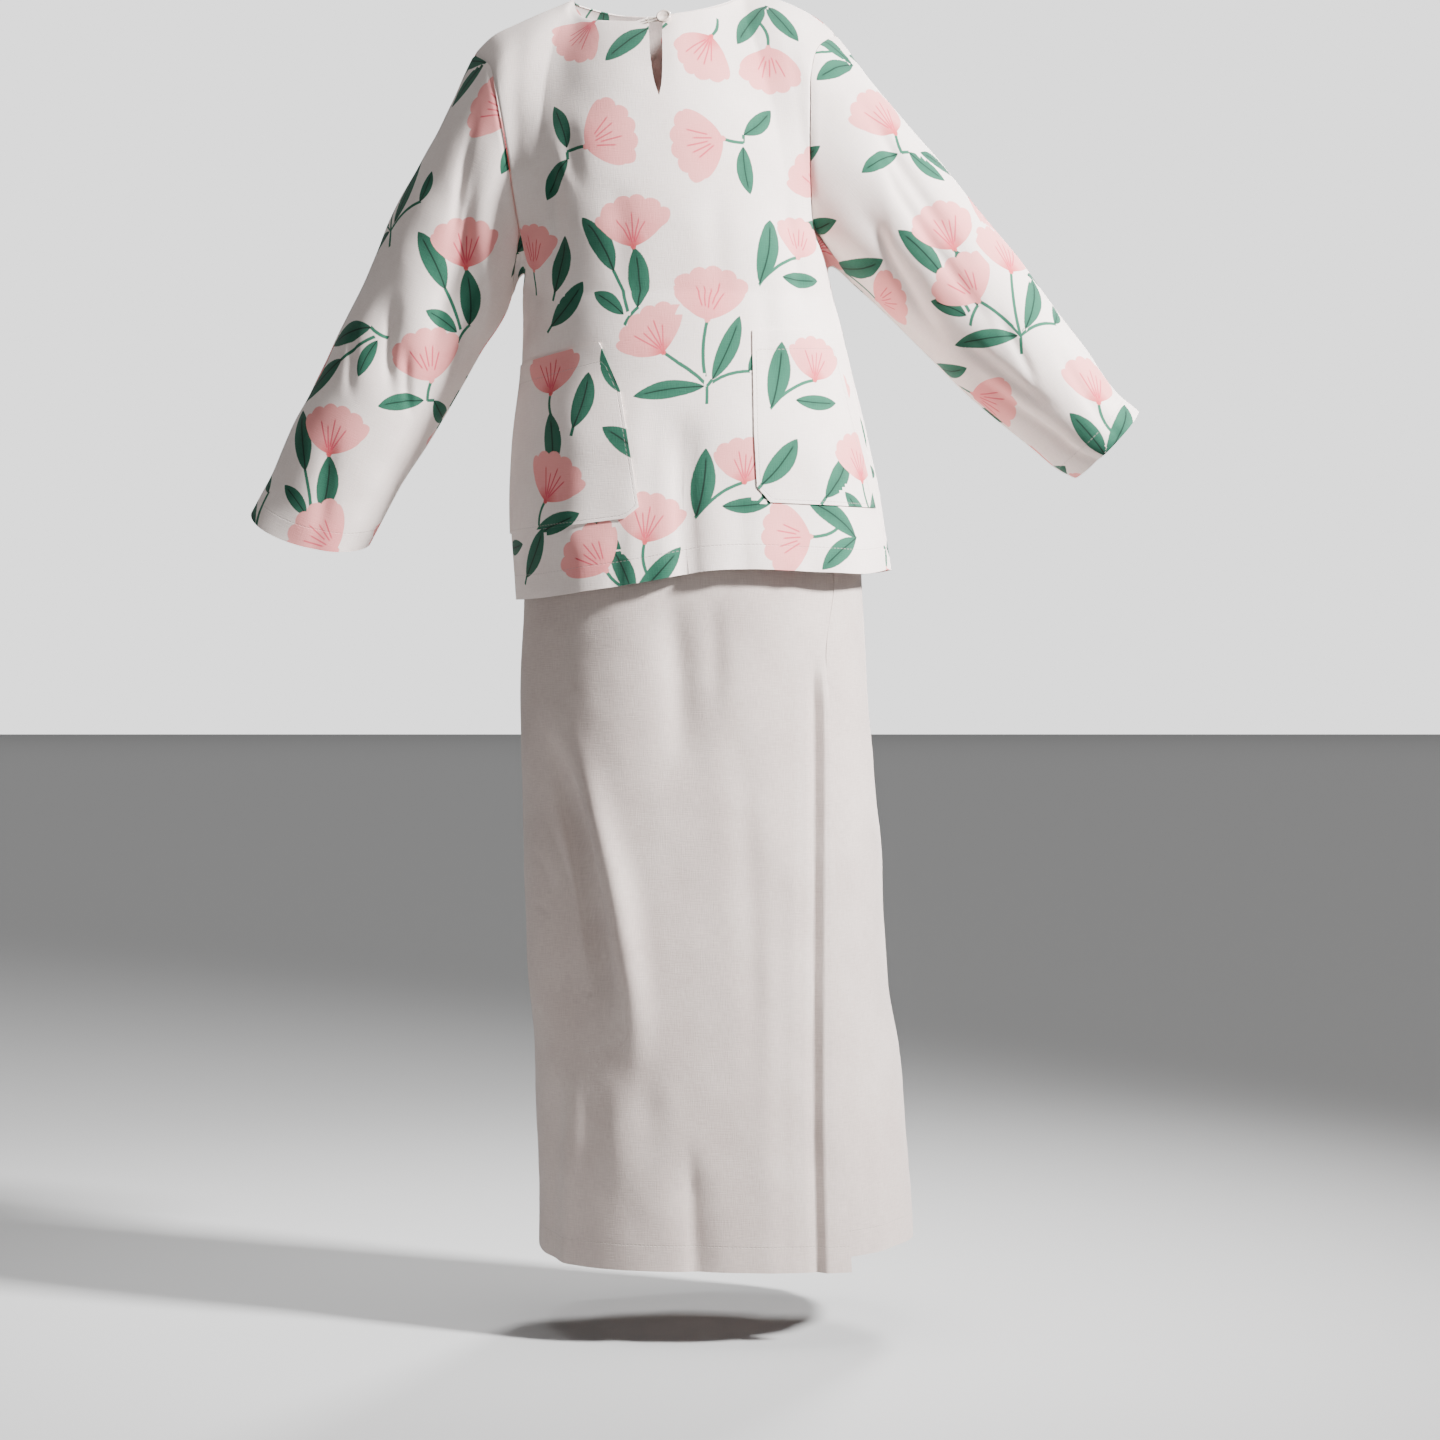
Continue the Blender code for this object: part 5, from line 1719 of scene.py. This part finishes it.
def skirt_height(hem, up):
    """Height of a point on the skirt. Its upper rows are level, so that they meet at the pleat."""
    rows = up * (SKIRT_LOW_ROWS + SKIRT_HIGH_ROWS)
    low = hem + (SKIRT_LEVEL - hem) * rows / SKIRT_LOW_ROWS
    high = SKIRT_LEVEL + (SKIRT_WAIST - SKIRT_LEVEL) * (rows - SKIRT_LOW_ROWS) / SKIRT_HIGH_ROWS
    return np.where(rows < SKIRT_LOW_ROWS, low, high)


def skirt_front(across, up):
    """The skirt's front from the right side seam to the folded strip at the pleat."""
    height = skirt_height(along(SKIRT_HEM, "front", across), up)
    edge, degree = pleat_angle(height)
    strip = along(PLEAT, "strip", height)
    place = np.clip((across - PLEAT_START) / (1 - PLEAT_START), 0, 1)
    columns, *values = zip(*PLEAT_PROFILE)
    beyond, share, rise = (np.interp(place, columns, value) for value in values)
    pleat = edge - (beyond + strip * share) / degree
    start = edge - (PLEAT_PROFILE[0].beyond + strip) / degree
    seam = SIDE_SEAM - SKIRT_TURN
    main = seam + (start - seam) * across / PLEAT_START
    angle = np.where(across < PLEAT_START, main, pleat)
    raised = rise * eased(-height, -SKIRT_LEVEL, -PLEAT_FULL)
    fade = eased(across, 0, FRONT_FADE) * (1 - eased(across, PLEAT_START - FRONT_FADE, PLEAT_START))

    def relief(base):
        return fold_relief(SKIRT_FRONT_FOLDS, base[:, 0], base[:, 2]) * fade + raised

    return skirt_surface(height, angle, relief)


def skirt_back(across, up):
    """The rest of the skirt, from under the folded strip round the back to the side seam."""
    height = skirt_height(along(SKIRT_HEM, "back", across), up)
    edge, degree = pleat_angle(height)
    strip = along(PLEAT, "strip", height)
    underlap = (strip - UNDERLAP_SHORT) * eased(-height, -UNDERLAP_TOP, -UNDERLAP_FULL)
    start = edge - underlap / degree
    seam = SIDE_SEAM + 360 - SKIRT_TURN
    fade = eased(across, BACK_FADE / 3, BACK_FADE) * (1 - eased(across, 1 - BACK_FADE, 1))

    def relief(base):
        return fold_relief(SKIRT_BACK_FOLDS, base[:, 0], base[:, 2]) * fade

    return skirt_surface(height, start + (seam - start) * across, relief)


SKIRT_FRONT_FACES = (125, 224)
SKIRT_BACK_FACES = (164, 200)
SKIRT_HEM_STITCH = 20
SKIRT_RUMPLE = 61

# Where the creases end beside the pleat: before it on the front, past it on the back
FRONT_CREASES_END = (0.72, 0.8)
BACK_CREASES_START = (0.04, 0.1)
SKIRT_FRONT_CREASES = (
    Fold(-98, -550, -34, -872, 10, 11, -6, 0),
    Fold(-96, -560, -62, -900, 8, 26, -13, 0),
    Fold(-74, -570, -8, -884, 12, 13, 8, 0),
    Fold(-100, -640, -70, -740, 3, 4, -1.4, 0),
    Fold(-104, -672, -88, -716, 1, 3, -1.3, 0),
    Fold(-102, -716, -90, -728, 0, 3, -1.2, 0),
    Fold(-56, -840, -54, -950, 0, 5, -1.2, 0),
    Fold(24, -890, 30, -1020, 0, 4, -1.8, 1),
    Fold(8, -460, 18, -620, 3, 9, -3, 0),
    Fold(40, -465, 44, -580, 2, 8, -2, 0),
    Fold(-80, -830, -86, -1010, 0, 6, -3, 0.8),
    Fold(-66, -830, -72, -1010, 0, 6, 2, 0.8),
    Fold(62, -560, 78, -900, 3, 10, -2, 0),
    Fold(-20, -700, -8, -960, 4, 12, -2, 0),
    Fold(100, -620, 112, -1010, 2, 12, -2.6, 1),
)
SKIRT_BACK_CREASES = (
    Fold(-48, -560, -30, -1010, 8, 7, -2, 1),
    Fold(30, -500, 46, -1010, 4, 8, 1.5, 1),
    Fold(96, -580, 118, -1010, 5, 7, -2, 1),
    Fold(0, -640, 8, -1010, 3, 10, -1.3, 1),
    Fold(150, -560, 160, -1010, 3, 9, -1.4, 1),
    Fold(-80, -660, -74, -1010, 0, 7, -1.5, 1),
)
PLAIN = colour(200, 186, 179)
PLAIN_SHADE = colour(180, 164, 158)
PLAIN_MOTTLE = Shade(1.2, 1.4, 0.45)
PLAIN_THREAD = 0.75
PLAIN_STITCH = colour(176, 166, 161)
PLAIN_STITCH_SEEN = 0.4
PLAIN_FINISH = (0.86, 0.14)

plain_cloth, shader, start = cloth_shader("plain_cloth", *PLAIN_FINISH)
threads, slow = weave(start, PLAIN_THREAD)
base = mottled(slow, threads, PLAIN_MOTTLE).mixed(PLAIN, PLAIN_SHADE)
sewn(start, shader, base, threads, PLAIN_STITCH_SEEN, PLAIN_STITCH)


def front_skirt_creases(across, up, place):
    """The creases of the skirt's front, which end before the folded strip."""
    relief = fold_relief(SKIRT_FRONT_CREASES, place[:, 0], place[:, 2])
    return relief * (1 - eased(across, *FRONT_CREASES_END))


def back_skirt_creases(across, up, place):
    """The creases of the skirt's back, which begin past what lies under the strip."""
    relief = fold_relief(SKIRT_BACK_CREASES, place[:, 0], place[:, 2])
    return relief * eased(across, *BACK_CREASES_START)


SkirtPanel = namedtuple("SkirtPanel", "node surface creases faces sewn_edge facing rests_on")
for panel in (
    SkirtPanel("skirt_front", skirt_front, front_skirt_creases, SKIRT_FRONT_FACES,
               "first", FRONT, "skirt_back"),
    SkirtPanel("skirt_back", skirt_back, back_skirt_creases, SKIRT_BACK_FACES,
               "last", BACK, "skirt_front"),
):
    pattern = flat_pattern(panel.surface, 1)
    edges = (panel.sewn_edge,)
    mesh = bmesh.new()
    fine = worn(panel.surface, pattern, 1, SKIRT_RUMPLE, edges, panel.creases)
    lay(mesh, fine, *panel.faces)
    piece = cloth_piece(panel.node + "_cloth", mesh, Vector((0, panel.facing, 0)))
    keep(piece.data, "stitch", hem_stitch(pattern, SKIRT_HEM_STITCH)(*corner_places(piece.data)))
    piece.data.materials.append(plain_cloth)
    thickened(piece)
    declared(piece, panel.node, pattern)

# The floor and the light
# A plain pale floor below the outfit, soft lamps from the viewer's right, the front, behind and
# overhead, and an even pale wall that the camera sees brighter than it lights the cloth.
FLOOR = -1.06
FLOOR_SIZE = 11
FLOOR_GREY = (0.5, 0.5, 0.5, 1)
FLOOR_FINISH = (0.9, 0)
floor_mesh = bmesh.new()
bmesh.ops.create_grid(floor_mesh, x_segments=1, y_segments=1, size=FLOOR_SIZE)
bmesh.ops.translate(floor_mesh, vec=(0, 0, FLOOR), verts=floor_mesh.verts)
floor_data = bpy.data.meshes.new("floor")
floor_mesh.to_mesh(floor_data)
floor_mesh.free()
floor = added("floor", floor_data)
floor_finish, shader, start = cloth_shader("floor", *FLOOR_FINISH)
shader.inputs["Base Color"].default_value = FLOOR_GREY
floor_data.materials.append(floor_finish)

PALE_WALL = (1, 1, 1, 1)
WALL_GLOW = (0.03, 0.03, 0.03, 1)
SURROUNDING = 1.9
Light = namedtuple("Light", "name place aim size spread power")
LIGHTS = (
    Light("main_light", (2.6, -1.45, 1.4), (0.0, 0.0, -0.45), 0.4, 45, 42),
    Light("soft_light", (1.2, -3.1, 0.5), (0, 0, -0.4), 1.0, 50, 1),
    Light("back_light", (0.9, 2.8, 1.0), (0, 0, -0.5), 0.6, 45, 14),
    Light("floor_light", (0, 0, 9), (0, 0, -1), 24.0, 40, 800),
)
for row in LIGHTS:
    lamp = bpy.data.lights.new(row.name, "AREA")
    lamp.size = row.size
    lamp.spread = math.radians(row.spread)
    lamp.energy = row.power
    aimed(added(row.name, lamp), row.place, row.aim)
world = bpy.data.worlds.new("surrounding")
bpy.context.scene.world = world
world.use_nodes = True
start = Value(world.node_tree)
light = start.node("ShaderNodeLightPath", {}, {}, output=0).mixed(WALL_GLOW, PALE_WALL)
background = world.node_tree.nodes["Background"]
world.node_tree.links.new(light.socket, background.inputs["Color"])
background.inputs["Strength"].default_value = SURROUNDING
